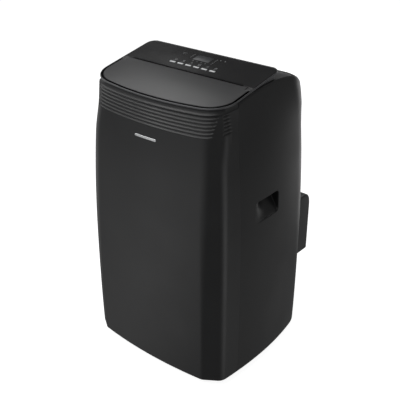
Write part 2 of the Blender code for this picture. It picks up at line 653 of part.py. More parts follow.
# --------------------------------------------------------------- handle cups
def handle_cup(name, s):
    """Recess for the fingers: a cup behind the side panel's window, deepest at
    its upper rear corner, with a floor that ramps out to the front."""
    g = 0.0004
    y0, y1, z0, z1 = HANDLE_Y[0] + g, HANDLE_Y[1] - g, HANDLE_Z[0] + g, HANDLE_Z[1] - g
    xs = 0.2108
    cup = box("cup", xs - 0.044, xs, y0, y1, z0, z1)
    bm = bmesh.new()
    bm.from_mesh(cup.data)
    ed = [e for e in bm.edges if abs((e.verts[0].co - e.verts[1].co).normalized().x) > 0.9]
    bmesh.ops.bevel(bm, geom=ed, offset=0.0086, segments=3, profile=0.5, affect="EDGES")
    bm.to_mesh(cup.data)
    bm.free()
    # hollow: outer mouth and inner floor
    m = 0.0022
    ya, yb, za, zb = y0 + m, y1 - m, z0 + m, z1 - m
    bm = bmesh.new()
    mouth = [(xs + 0.01, ya, za), (xs + 0.01, yb, za), (xs + 0.01, yb, zb), (xs + 0.01, ya, zb)]
    line = [(xs - 0.0005, ya, za), (xs - 0.0005, yb, za), (xs - 0.0005, yb, zb), (xs - 0.0005, ya, zb)]
    floor = [(xs - 0.0030, ya, za), (xs - 0.0160, yb, za + 0.004), (xs - 0.0400, yb, zb), (xs - 0.0280, ya + 0.030, zb)]
    a = [bm.verts.new(p) for p in mouth]
    b = [bm.verts.new(p) for p in line]
    c = [bm.verts.new(p) for p in floor]
    bm.faces.new(list(reversed(a)))
    for u, v in ((a, b), (b, c)):
        for i in range(4):
            j = (i + 1) % 4
            bm.faces.new((u[i], u[j], v[j], v[i]))
    bm.faces.new((c[0], c[1], c[2]))
    bm.faces.new((c[0], c[2], c[3]))
    bmesh.ops.recalc_face_normals(bm, faces=bm.faces)
    bmesh.ops.triangulate(bm, faces=bm.faces[:])
    boolean(cup, link("c", bm, (0, 0, 0)))
    bm = bmesh.new()
    bm.from_mesh(cup.data)
    for v in bm.verts:
        v.co += cup.location
        v.co.x *= s
    if s < 0:
        bmesh.ops.reverse_faces(bm, faces=bm.faces[:])
    bpy.data.objects.remove(cup)
    return link(name, bm, (s * (xs - 0.02), (y0 + y1) / 2, (z0 + z1) / 2))


handle_cup("right_handle_cup", 1)
handle_cup("left_handle_cup", -1)


# ------------------------------------------------------------- back of the unit
def grille(name, x0, x1, z0, z1, y, pitch):
    """Slatted cover: a frame with horizontal slats."""
    g = 0.0004
    ob = box(name, x0 + g, x1 - g, y - 0.0060, y - 0.0004, z0 + g, z1 - g)
    n = int((z1 - z0 - 0.016) / pitch)
    zs = (z0 + z1) / 2 - n * pitch / 2
    bm = bmesh.new()
    for k in range(n):
        za = zs + k * pitch + 0.0018
        add_box(bm, x0 + 0.008, x1 - 0.008, y - 0.02, y + 0.02, za, za + pitch - 0.0036)
    c = link("c", bm, (0, 0, 0))
    boolean(ob, c)
    return ob


YB = HR - 0.0014          # the rear panel leans in a little with height
yu = BODY_D / 2 - taper(0.52)
grille("intake_grille_upper", *UP_GRILLE, BODY_D / 2 - taper(0.62) - 0.0002, 0.0125)
grille("intake_grille_lower", *LO_GRILLE, BODY_D / 2 - 0.0010, 0.0125)
box("filter_upper", UP_GRILLE[0] + 0.004, UP_GRILLE[1] - 0.004, 0.1735, 0.1775, UP_GRILLE[2] + 0.004, UP_GRILLE[3] - 0.004)
box("filter_lower", LO_GRILLE[0] + 0.003, LO_GRILLE[1] - 0.003, 0.1900, 0.1935, LO_GRILLE[2] + 0.004, LO_GRILLE[3] - 0.004)

# exhaust adapter: a box with a sloping rear top edge, a round mouth in its rear
# face and a round spigot that enters the rear panel
CH_Z, CH_Y = 0.031, 0.021
yb0 = HR + 0.0006
prof = [(yb0, ADAPT_Z[0]), (ADAPT_Y, ADAPT_Z[0]), (ADAPT_Y, ADAPT_Z[1] - CH_Z), (ADAPT_Y - CH_Y * 0.45, ADAPT_Z[1] - CH_Z * 0.30), (ADAPT_Y - CH_Y, ADAPT_Z[1]), (yb0, ADAPT_Z[1])]
bm = bmesh.new()
loft(bm, [[(ADAPT_X[0], y, z) for y, z in prof], [(ADAPT_X[1], y, z) for y, z in prof]])
ad = link("exhaust_adapter", bm, (ADAPT_CX, HR, ADAPT_CZ))
ad_in = [(yb0 + 0.0030, ADAPT_Z[0] + 0.003), (ADAPT_Y - 0.0035, ADAPT_Z[0] + 0.003), (ADAPT_Y - 0.0035, ADAPT_Z[1] - CH_Z - 0.001), (ADAPT_Y - CH_Y - 0.001, ADAPT_Z[1] - 0.0035), (yb0 + 0.0030, ADAPT_Z[1] - 0.0035)]
bm = bmesh.new()
loft(bm, [[(ADAPT_X[0] + 0.003, y, z) for y, z in ad_in], [(ADAPT_X[1] - 0.003, y, z) for y, z in ad_in]])
boolean(ad, link("c", bm, (0, 0, 0)))
boolean(ad, turned("c", [(HOSE_R, -0.013), (HOSE_R, 0.004)], (ADAPT_CX, yb0, ADAPT_CZ), axis="Y", n=32), "UNION")
boolean(ad, turned("c", [(HOSE_R - 0.003, -0.03), (HOSE_R - 0.003, 0.03)], (ADAPT_CX, yb0, ADAPT_CZ), axis="Y", n=32))
boolean(ad, turned("c", [(HOSE_R - 0.010, -0.03), (HOSE_R - 0.010, 0.03)], (ADAPT_CX, ADAPT_Y, ADAPT_CZ - 0.012), axis="Y", n=32))

for name, x, z in (("drain_plug_upper", -0.08, 0.365), ("drain_plug_lower", 0.10, 0.052)):
    yy = BODY_D / 2 - taper(z)
    turned(name, [(0.0060, -0.012), (0.0060, 0.0004), (0.0110, 0.0004), (0.0110, 0.0030), (0.0095, 0.0045)], (x, yy, z), axis="Y", n=16)
yy = BODY_D / 2 - taper(0.115)
gl = turned("cord_gland", [(0.0070, -0.008), (0.0070, 0.0004), (0.0120, 0.0004), (0.0120, 0.0040), (0.0085, 0.0110)], (0.108, yy, 0.115), axis="Y", n=16)
boolean(gl, turned("c", [(0.0040, -0.02), (0.0040, 0.02)], (0.108, yy, 0.115), axis="Y", n=12))

# --------------------------------------------------------------- the mechanism
turned("compressor", [(0.030, 0.0), (0.056, 0.012), (0.056, 0.150), (0.048, 0.170), (0.020, 0.180)], (-0.085, -0.030, 0.0300), n=24)
turned("accumulator", [(0.010, 0.0), (0.022, 0.010), (0.022, 0.115), (0.010, 0.125)], (-0.085, 0.060, 0.060), n=16)
tube("suction_pipe", arc_path([(-0.085, 0.060, 0.1856), (-0.085, 0.060, 0.250), (-0.140, 0.060, 0.250), (-0.140, 0.060, 0.340), (-0.140, 0.115, 0.3400)], 0.015), 0.0045, 8)
tube("discharge_pipe", arc_path([(-0.085, -0.030, 0.2106), (-0.085, -0.030, 0.270), (-0.085, 0.120, 0.270), (-0.085, 0.136, 0.270)], 0.012), 0.0035, 8)
box("condenser", -0.155, -0.032, 0.1400, 0.1750, 0.062, 0.345, bevel=0.001)
box("evaporator", -0.130, 0.130, 0.1250, 0.1650, 0.402, 0.615, bevel=0.001)
tray = box("drain_tray", -0.150, 0.150, -0.110, 0.1680, 0.3720, 0.3980)
boolean(tray, box("c", -0.147, 0.147, -0.107, 0.1650, 0.3745, 0.45))
sc = box("blower_scroll", -0.125, 0.125, -0.020, 0.100, 0.4000, 0.6300)
boolean(sc, box("c", -0.122, 0.122, -0.017, 0.097, 0.4030, 0.70))
boolean(sc, turned("c", [(0.075, -0.02), (0.075, 0.02)], (0, 0.100, 0.505), axis="Y", n=28))
boolean(sc, turned("c", [(0.0090, -0.02), (0.0090, 0.02)], (0, -0.020, 0.505), axis="Y", n=12))


def blower(name, c, r, y0, y1):
    """Drum blower wheel: back disc with a hub and shaft, blades as a thick
    ring, open at its mouth."""
    w = turned(name, [(r, y0), (r, y1)], c, axis="Y", n=28)
    boolean(w, turned("c", [(r - 0.012, y0 + 0.003), (r - 0.012, y1 + 0.02)], c, axis="Y", n=28))
    boolean(w, turned("c", [(0.012, y0 + 0.001), (0.012, y0 + 0.025)], c, axis="Y", n=12), "UNION")
    boolean(w, turned("c", [(0.0040, y0 - 0.0150), (0.0040, y0 + 0.002)], c, axis="Y", n=12), "UNION")
    return w


blower("upper_blower_wheel", (0.0, 0.0, 0.505), 0.092, -0.010, 0.080)
m = turned("upper_fan_motor", [(0.020, -0.040), (0.040, -0.034), (0.040, 0.022), (0.016, 0.030)], (0.0, -0.054, 0.505), axis="Y", n=20)
boolean(m, turned("c", [(0.0043, 0.024), (0.0043, 0.04)], (0.0, -0.054, 0.505), axis="Y", n=12))
blower("lower_blower_wheel", (0.0595, 0.060, ADAPT_CZ - 0.030), 0.062, -0.010, 0.060)
m = turned("lower_fan_motor", [(0.020, -0.040), (0.038, -0.034), (0.038, 0.022), (0.016, 0.030)], (0.0595, 0.016, ADAPT_CZ - 0.030), axis="Y", n=20)
boolean(m, turned("c", [(0.0043, 0.016), (0.0043, 0.04)], (0.0595, 0.016, ADAPT_CZ - 0.030), axis="Y", n=12))
box("electrics_box", 0.060, 0.160, -0.150, -0.080, 0.130, 0.300, bevel=0.003)

# small plain plate on the front
zb = 0.615
yfb = -(BODY_D / 2 - taper(zb)) + 0.0
bm = bmesh.new()
rings = []
for x in (-0.027, -0.011, 0.004, 0.019, 0.035):
    def yo(zz):
        t = taper(zz)
        ax_ = right_half(zz)[I_A][0]
        return -(BODY_D / 2 - t) + FRONT_BOW * (x / ax_) ** 2
    za_, zb_ = 0.6085, 0.6180
    rings.append([(x, yo(za_) - 0.0003, za_), (x, yo(za_) - 0.0011, za_), (x, yo(zb_) - 0.0011, zb_), (x, yo(zb_) - 0.0003, zb_)])
loft(bm, rings)
link("badge_plate", bm, (0.004, yfb, 0.613))

# ------------------------------------------------------------------ materials
KIND = {
    "front_panel": "shell", "left_side_panel": "shell_side", "right_side_panel": "shell_side", "rear_panel": "shell_side",
    "top_cover": "shell", "rear_shoulder": "shell", "base_pan": "grille", "louver_flap": "flap", "control_panel": "deck",
    "air_outlet_frame": "grille", "vane_link": "grille", "flap_motor": "inner", "display_window": "window",
    "control_board": "board", "left_handle_cup": "shell_side", "right_handle_cup": "shell_side",
    "intake_grille_upper": "grille", "intake_grille_lower": "grille", "filter_upper": "filter", "filter_lower": "filter",
    "exhaust_adapter": "shell_side", "drain_plug_upper": "rubber", "drain_plug_lower": "rubber", "cord_gland": "rubber",
    "compressor": "paint", "accumulator": "paint", "suction_pipe": "copper", "discharge_pipe": "copper",
    "condenser": "aluminium", "evaporator": "aluminium", "drain_tray": "inner", "blower_scroll": "foam",
    "upper_blower_wheel": "inner", "lower_blower_wheel": "inner", "upper_fan_motor": "steel", "lower_fan_motor": "steel",
    "electrics_box": "inner", "badge_plate": "badge",
}
for ob in bpy.data.objects:
    n = ob.name
    kind = KIND.get(n)
    if kind is None:
        kind = "grille" if n.startswith("vane") else "key" if n.startswith("key") else "rubber" if "wheel" in n else "grille"
    ob.data.materials.clear()
    ob.data.materials.append(material(n, kind))
    ob.location.y += Y_SHIFT
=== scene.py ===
"""Portable air conditioner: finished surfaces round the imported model."""
import bisect
import json
import math

import bmesh
import bpy
from mathutils import Matrix, Vector


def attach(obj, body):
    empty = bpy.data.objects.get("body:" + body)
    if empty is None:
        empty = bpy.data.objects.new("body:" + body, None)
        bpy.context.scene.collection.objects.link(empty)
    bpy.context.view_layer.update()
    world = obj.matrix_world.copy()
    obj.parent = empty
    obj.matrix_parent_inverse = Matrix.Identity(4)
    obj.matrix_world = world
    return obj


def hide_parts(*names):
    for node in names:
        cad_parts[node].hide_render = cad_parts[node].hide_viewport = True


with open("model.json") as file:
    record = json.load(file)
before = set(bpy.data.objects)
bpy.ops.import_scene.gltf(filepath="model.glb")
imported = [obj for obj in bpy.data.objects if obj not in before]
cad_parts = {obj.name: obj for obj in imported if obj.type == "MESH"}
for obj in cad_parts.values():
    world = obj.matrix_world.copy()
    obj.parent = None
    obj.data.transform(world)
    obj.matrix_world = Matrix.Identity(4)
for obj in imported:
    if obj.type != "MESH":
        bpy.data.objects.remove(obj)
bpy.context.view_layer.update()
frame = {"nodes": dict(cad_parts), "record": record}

# ------------------------------------------------------------------ dimensions
# The cabinet's own frame has its middle at x = y = 0; YS carries it to the row.
BODY_W, BODY_D = 0.4354, 0.4073
Z_BOTTOM, Z_WALL, Z_WIDE = 0.020, 0.6990, 0.1743
TAPER_TOP, TAPER_TOP_EXP, TAPER_BOT = 0.0251, 2.65, 0.0013
Z_RIM, Z_TAPER = 0.704, 0.7182
FACET_X, FACET_Y = (0.0518, 0.0350), (0.0276, 0.0239)
FRONT_BOW, SIDE_BOW = 0.0112, 0.0131
REAR_R, RIM_R = 0.0728, 0.0576
WALL = 0.0030
HALF_H = BODY_D / 2 - TAPER_TOP
HALF_W = BODY_W / 2 - TAPER_TOP
SEAM = 0.030
SLOPE = 0.1975
DECK_REAR, GAP_LINE = 0.0481, -0.0497
AXIS_Y, AXIS_DROP = -0.0572, 0.0065
RIB_COUNT, RIB_PITCH, RIB_Z0, RIB_DEPTH = 6, 0.0077, 0.6470, 0.0022
ADAPT_X, ADAPT_Z, ADAPT_Y, ADAPT_CZ = (-0.023, 0.142), (0.159, 0.337), 0.300, 0.248
ADAPT_CX = 0.5 * (ADAPT_X[0] + ADAPT_X[1])
HOSE_R = 0.0635
HANDLE_Y, HANDLE_Z = (-0.057, 0.034), (0.413, 0.467)
KEY_X0, KEY_PITCH, KEY_Y, KEY_L, KEY_W = -0.0602, 0.0235, -0.0255, 0.0165, 0.0054
DISP_X, DISP_Y = (-0.0255, 0.0225), (0.0030, 0.0265)
YS = -(ADAPT_Y - BODY_D / 2) / 2
HR = BODY_D / 2
NRM = Vector((0, -SLOPE, 1)).normalized()


# ----------------------------------------------------------------- shape rules
def lerp(a, b, t):
    return a + (b - a) * t


def clamp(t, a=0.0, b=1.0):
    return min(b, max(a, t))


def smooth(t):
    t = clamp(t)
    return t * t * (3 - 2 * t)


def ramp(x, a, b):
    return smooth((x - a) / (b - a))


def plane_z(y):
    return Z_RIM + SLOPE * (y + HALF_H)


def rim_z(y):
    """Height of the shell walls' top edge."""
    ya, yb = -0.095, 0.030
    za, zb = Z_WALL + SLOPE * (ya + HALF_H), 0.7280
    if y <= ya:
        return Z_WALL + SLOPE * (y + HALF_H)
    if y <= yb:
        t = (y - ya) / (yb - ya)
        m0 = SLOPE * (yb - ya)
        return (2 * t ** 3 - 3 * t ** 2 + 1) * za + (t ** 3 - 2 * t ** 2 + t) * m0 + (3 * t ** 2 - 2 * t ** 3) * zb
    yc, zc, zd = 0.100, zb - 0.0055 * ((0.100 - yb) / 0.065) ** 2, 0.6960
    if y <= yc:
        return zb - 0.0055 * ((y - yb) / 0.065) ** 2
    t = min(1.0, (y - yc) / 0.058)
    m0 = -2 * 0.0055 * (yc - yb) / 0.065 ** 2 * 0.058
    return (2 * t ** 3 - 3 * t ** 2 + 1) * zc + (t ** 3 - 2 * t ** 2 + t) * m0 + (3 * t ** 2 - 2 * t ** 3) * zd


def taper(z):
    up = max(0.0, (z - Z_WIDE) / (Z_TAPER - Z_WIDE))
    dn = max(0.0, (Z_WIDE - z) / (Z_WIDE - Z_BOTTOM))
    return TAPER_TOP * up ** TAPER_TOP_EXP + TAPER_BOT * dn ** 2


def rear_radius(z):
    """Plan radius of the rear corners: tightest below the top, then opening."""
    pts = ((0.020, 0.0700), (0.300, 0.0690), (0.420, 0.0670), (0.500, 0.0640), (0.600, 0.0600), (0.640, 0.0630), (0.670, 0.0720), (0.700, 0.0830), (0.760, 0.0860))
    for (za, ra), (zb, rb) in zip(pts, pts[1:]):
        if z <= zb:
            return lerp(ra, rb, clamp((z - za) / (zb - za)))
    return pts[-1][1]


def bez(p0, p1, p2, p3, t):
    s = 1 - t
    return tuple(s * s * s * a + 3 * s * s * t * b + 3 * s * t * t * c + t * t * t * d for a, b, c, d in zip(p0, p1, p2, p3))


NF, NK, NS1, NS2, NR, NB = 22, 36, 8, 34, 18, 6
CUT_A, CUT_B = 0.48, 0.590
K0 = NF                    # first station of the front corner
K1 = K0 + NK               # last station of the front corner
K_SEAM = K1 + NS1          # joint of the front and side panels
K_C = K_SEAM + NS2         # start of the rear corner
K_D = K_C + NR             # end of the rear corner
K_REAR = K_D + 1           # joint of the side and rear panels
K_MID = K_REAR + NB        # middle of the back
N_RING = 2 * K_MID


def half(z):
    """Right half of the outline at a height, from the middle of the front to
    the middle of the back."""
    t = taper(z)
    w, h = BODY_W / 2 - t, BODY_D / 2 - t
    u = clamp((z - Z_BOTTOM) / (Z_TAPER - Z_BOTTOM))
    s = max(0.0, (u - 0.25) / 0.75) ** 2
    fx, fy = lerp(*FACET_X, s), lerp(*FACET_Y, s)
    m = smooth((z - 0.5746) / 0.1436)
    flats = 1 - ramp(z, 0.7085, 0.7165)
    yf = -h + FRONT_BOW
    ax, by = lerp(w - fx, w - RIM_R, m), lerp(yf + fy, yf + RIM_R, m)
    bow = SIDE_BOW * (1 - m)
    bow_f = 0.80 * bow
    bx = w - bow_f
    ra = lerp(0.0050, 0.0130, smooth((z - 0.10) / 0.50))
    rb = 0.0125
    rear_r = rear_radius(z)
    y1 = h - rear_r
    mid, hf = (by + y1) / 2, (y1 - by) / 2

    def front(x):
        return -h + FRONT_BOW * (x / ax) ** 2

    def side(y):
        return w - (bow if y > mid else bow_f) * ((y - mid) / hf) ** 2

    A, B = Vector((ax, yf)), Vector((bx, by))
    d = (B - A).normalized()
    L = (B - A).length
    ra, rb = min(ra, 0.45 * L), min(rb, 0.45 * L)
    p0, p1 = Vector((ax - ra, front(ax - ra))), A + d * ra
    q0, q1 = B - d * rb, Vector((side(by + rb), by + rb))
    xs, ye = lerp(ax - ra, w - RIM_R, m), lerp(by + rb, yf + RIM_R, m)
    a0 = Vector((w - RIM_R, yf))
    a3 = Vector((w, yf + RIM_R))
    ta = Vector((1, 2 * FRONT_BOW / ax)).normalized()
    a1, a2 = a0 + ta * 0.5523 * RIM_R, a3 - Vector((0, 1)) * 0.5523 * RIM_R
    # higher up the rounded corner is cut by a narrow flat and by the return
    ga, gb = Vector(bez(a0, a1, a2, a3, CUT_A)), Vector(bez(a0, a1, a2, a3, CUT_B))
    g0 = gb - (gb - ga).normalized() * 0.4 * (gb - ga).length
    g1 = gb + (a3 + Vector((0, 0.004)) - gb).normalized() * 0.0065
    pts = [(xs * i / NF, front(xs * i / NF)) for i in range(NF)]
    for i in range(NK + 1):
        k = i / NK
        if k < 0.36:
            e = k / 0.36
            f = (1 - e) ** 2 * p0 + 2 * e * (1 - e) * A + e * e * p1
        elif k < 0.64:
            f = p1 + (q0 - p1) * ((k - 0.36) / 0.28)
        else:
            e = (k - 0.64) / 0.36
            f = (1 - e) ** 2 * q0 + 2 * e * (1 - e) * B + e * e * q1
        c = Vector(bez(a0, a1, a2, a3, k))
        if k < 0.36:
            e = Vector(bez(a0, a1, a2, a3, CUT_A * k / 0.36))
        elif k < 0.64:
            e = ga + (g0 - ga) * ((k - 0.36) / 0.28)
        else:
            t = (k - 0.64) / 0.36
            e = (1 - t) ** 2 * g0 + 2 * t * (1 - t) * gb + t * t * g1
        c = c + (e - c) * flats
        g = f + (c - f) * m
        pts.append((g.x, g.y))
    ys = max(-HALF_H + FRONT_BOW + FACET_Y[1] + SEAM + 0.004, ye + 0.004)
    xe, yk = pts[-1]
    for i in range(1, NS1 + 1):
        y = lerp(yk, ys, i / NS1)
        pts.append((lerp(xe, side(ys), i / NS1) * m + side(y) * (1 - m), y))
    for i in range(1, NS2 + 1):
        y = lerp(ys, y1, i / NS2)
        pts.append((side(y), y))
    x1 = pts[-1][0]
    ts = Vector((-2 * bow / hf, 1)).normalized()
    c0, c3 = Vector((x1, y1)), Vector((x1 - rear_r, h))
    c1, c2 = c0 + ts * 0.5523 * rear_r, c3 + Vector((1, 0)) * 0.5523 * rear_r
    for i in range(1, NR + 1):
        pts.append(bez(c0, c1, c2, c3, i / NR))
    xr = x1 - rear_r - 0.008
    pts.append((xr, h))
    for i in range(1, NB + 1):
        pts.append((xr * (1 - i / NB), h))
    return pts


_ring = {}


def ring(z, inset=0.0):
    """Closed outline, counter-clockwise from the middle of the front."""
    key = (round(z, 6), round(inset, 6))
    if key in _ring:
        return _ring[key]
    if inset == 0.0:
        r = half(z)
        out = r + [(-x, y) for x, y in reversed(r[1:-1])]
    else:
        pts = ring(z)
        n = len(pts)
        out = []
        for i in range(n):
            a, b, c = Vector(pts[i - 1]), Vector(pts[i]), Vector(pts[(i + 1) % n])
            n1 = Vector(((b - a).y, -(b - a).x)).normalized()
            n2 = Vector(((c - b).y, -(c - b).x)).normalized()
            m = (n1 + n2).normalized()
            out.append((b.x - m.x * inset, b.y - m.y * inset))
    _ring[key] = out
    return out


TAB = [0.020 + 0.010 * k for k in range(43)] + [0.450 + 0.004 * k for k in range(38)] + [0.602 + 0.002 * k for k in range(74)]
TAB_P, TAB_N = [], []
for z_ in TAB:
    r_ = ring(z_)
    q_ = []
    for i_ in range(N_RING):
        a_, b_, c_ = Vector(r_[i_ - 1]), Vector(r_[i_]), Vector(r_[(i_ + 1) % N_RING])
        m_ = Vector(((b_ - a_).y, -(b_ - a_).x)).normalized() + Vector(((c_ - b_).y, -(c_ - b_).x)).normalized()
        m_.normalize()
        q_.append((m_.x, m_.y))
    TAB_P.append(r_)
    TAB_N.append(q_)


def station(i, z, inset=0.0):
    """Point of the outline's station i at a height, drawn in by inset."""
    i %= N_RING
    k = min(max(bisect.bisect_right(TAB, z) - 1, 0), len(TAB) - 2)
    t = (z - TAB[k]) / (TAB[k + 1] - TAB[k])
    x = lerp(TAB_P[k][i][0], TAB_P[k + 1][i][0], t)
    y = lerp(TAB_P[k][i][1], TAB_P[k + 1][i][1], t)
    if inset:
        x -= inset * lerp(TAB_N[k][i][0], TAB_N[k + 1][i][0], t)
        y -= inset * lerp(TAB_N[k][i][1], TAB_N[k + 1][i][1], t)
    return x, y


def lift(y, z):
    """Near the top the levels follow the sloping rim."""
    return z + (rim_z(y) - Z_WALL) * smooth((z - 0.48) / 0.155)


def on_wall(i, z, inset=0.0):
    """Point of the wall at station i and level z, at its true height."""
    y, zz = station(i, z)[1], z
    for _ in range(3):
        zz = lift(y, z)
        y = station(i, zz)[1]
    x, y = station(i, zz, inset)
    return Vector((x, y, zz))


# ------------------------------------------------------------------- materials
def new_mat(name):
    m = bpy.data.materials.new(name)
    m.use_nodes = True
    nt = m.node_tree
    p = nt.nodes["Principled BSDF"]
    return m, nt, p


def plastic(name, colour, rough=0.45, spec=0.35, grain=1500.0, bump=0.10, vary=0.10, wear_and_sheen=0.25, coat=0.0, blotch=9.0):
    """Moulded plastic: fine spark-eroded grain, slow changes of tone and gloss,
    and edges painted a little lighter, partly as rubbed wear and partly as a painted edge sheen."""
    m, nt, p = new_mat(name)
    N, L = nt.nodes, nt.links
    tc = N.new("ShaderNodeTexCoord")
    n1 = N.new("ShaderNodeTexNoise")
    n1.inputs["Scale"].default_value = blotch
    n1.inputs["Detail"].default_value = 4.0
    L.new(tc.outputs["Object"], n1.inputs["Vector"])
    n2 = N.new("ShaderNodeTexNoise")
    n2.inputs["Scale"].default_value = grain
    n2.inputs["Detail"].default_value = 2.0
    L.new(tc.outputs["Object"], n2.inputs["Vector"])
    cr = N.new("ShaderNodeValToRGB")
    cr.color_ramp.elements[0].position = 0.30
    cr.color_ramp.elements[1].position = 0.70
    cr.color_ramp.elements[0].color = (*[c * (1 - vary) for c in colour], 1)
    cr.color_ramp.elements[1].color = (*[min(1, c * (1 + vary)) for c in colour], 1)
    L.new(n1.outputs["Fac"], cr.inputs["Fac"])
    # convex edges (pointiness) get a lighter base colour: rubbed wear and a painted edge sheen
    geo = N.new("ShaderNodeNewGeometry")
    wear_and_sheen_ramp = N.new("ShaderNodeValToRGB")
    wear_and_sheen_ramp.color_ramp.elements[0].position = 0.53
    wear_and_sheen_ramp.color_ramp.elements[1].position = 0.62
    wear_and_sheen_ramp.color_ramp.elements[0].color = (0, 0, 0, 1)
    wear_and_sheen_ramp.color_ramp.elements[1].color = (wear_and_sheen, wear_and_sheen, wear_and_sheen, 1)
    L.new(geo.outputs["Pointiness"], wear_and_sheen_ramp.inputs["Fac"])
    mx = N.new("ShaderNodeMix")
    mx.data_type = "RGBA"
    mx.inputs[7].default_value = (*[min(1, c * 1.5 + 0.01) for c in colour], 1)
    L.new(wear_and_sheen_ramp.outputs["Color"], mx.inputs[0])
    L.new(cr.outputs["Color"], mx.inputs[6])
    L.new(mx.outputs[2], p.inputs["Base Color"])
    mr = N.new("ShaderNodeMapRange")
    mr.inputs["From Min"].default_value = 0.3
    mr.inputs["From Max"].default_value = 0.7
    mr.inputs["To Min"].default_value = clamp(rough - 0.04)
    mr.inputs["To Max"].default_value = clamp(rough + 0.04)
    L.new(n1.outputs["Fac"], mr.inputs["Value"])
    L.new(mr.outputs["Result"], p.inputs["Roughness"])
    b = N.new("ShaderNodeBump")
    b.inputs["Strength"].default_value = bump
    b.inputs["Distance"].default_value = 0.0002
    L.new(n2.outputs["Fac"], b.inputs["Height"])
    L.new(b.outputs["Normal"], p.inputs["Normal"])
    p.inputs["Specular IOR Level"].default_value = spec
    p.inputs["Coat Weight"].default_value = coat
    p.inputs["Coat Roughness"].default_value = 0.08
    m.diffuse_color = (*colour, 1)
    return m


def metal(name, colour, rough=0.32, stretch=(1, 1, 40), scale=60.0, metallic=1.0, bump=0.15):
    """Sheet or drawn metal with a fine directional grain."""
    m, nt, p = new_mat(name)
    N, L = nt.nodes, nt.links
    tc = N.new("ShaderNodeTexCoord")
    mp = N.new("ShaderNodeMapping")
    mp.inputs["Scale"].default_value = stretch
    L.new(tc.outputs["Object"], mp.inputs["Vector"])
    n1 = N.new("ShaderNodeTexNoise")
    n1.inputs["Scale"].default_value = scale
    n1.inputs["Detail"].default_value = 6.0
    L.new(mp.outputs["Vector"], n1.inputs["Vector"])
    cr = N.new("ShaderNodeValToRGB")
    cr.color_ramp.elements[0].color = (*[c * 0.78 for c in colour], 1)
    cr.color_ramp.elements[1].color = (*[min(1, c * 1.12) for c in colour], 1)
    L.new(n1.outputs["Fac"], cr.inputs["Fac"])
    L.new(cr.outputs["Color"], p.inputs["Base Color"])
    mr = N.new("ShaderNodeMapRange")
    mr.inputs["To Min"].default_value = rough - 0.08
    mr.inputs["To Max"].default_value = rough + 0.10
    L.new(n1.outputs["Fac"], mr.inputs["Value"])
    L.new(mr.outputs["Result"], p.inputs["Roughness"])
    b = N.new("ShaderNodeBump")
    b.inputs["Strength"].default_value = bump
    b.inputs["Distance"].default_value = 0.0002
    L.new(n1.outputs["Fac"], b.inputs["Height"])
    L.new(b.outputs["Normal"], p.inputs["Normal"])
    p.inputs["Metallic"].default_value = metallic
    return m


def banded(name, dark, light, axis, period, rough=0.5, metallic=0.0, bump=0.4, second=None):
    """Surface ruled with fine parallel lines, such as fins or a mesh."""
    m, nt, p = new_mat(name)
    N, L = nt.nodes, nt.links
    tc = N.new("ShaderNodeTexCoord")

    def wave(ax, per):
        w = N.new("ShaderNodeTexWave")
        w.wave_type = "BANDS"
        w.bands_direction = ax
        w.wave_profile = "SIN"
        w.inputs["Scale"].default_value = 1.0 / per / 3.18
        w.inputs["Distortion"].default_value = 0.0
        L.new(tc.outputs["Object"], w.inputs["Vector"])
        return w.outputs["Fac"]

    f = wave(axis, period)
    if second:
        g = wave(*second)
        mm = N.new("ShaderNodeMath")
        mm.operation = "MAXIMUM"
        L.new(f, mm.inputs[0])
        L.new(g, mm.inputs[1])
        f = mm.outputs[0]
    cr = N.new("ShaderNodeValToRGB")
    cr.color_ramp.elements[0].color = (*dark, 1)
    cr.color_ramp.elements[1].color = (*light, 1)
    L.new(f, cr.inputs["Fac"])
    L.new(cr.outputs["Color"], p.inputs["Base Color"])
    nz = N.new("ShaderNodeTexNoise")
    nz.inputs["Scale"].default_value = 30.0
    L.new(tc.outputs["Object"], nz.inputs["Vector"])
    mr = N.new("ShaderNodeMapRange")
    mr.inputs["To Min"].default_value = rough - 0.08
    mr.inputs["To Max"].default_value = rough + 0.08
    L.new(nz.outputs["Fac"], mr.inputs["Value"])
    L.new(mr.outputs["Result"], p.inputs["Roughness"])
    b = N.new("ShaderNodeBump")
    b.inputs["Strength"].default_value = bump
    b.inputs["Distance"].default_value = 0.0005
    L.new(f, b.inputs["Height"])
    L.new(b.outputs["Normal"], p.inputs["Normal"])
    p.inputs["Metallic"].default_value = metallic
    return m


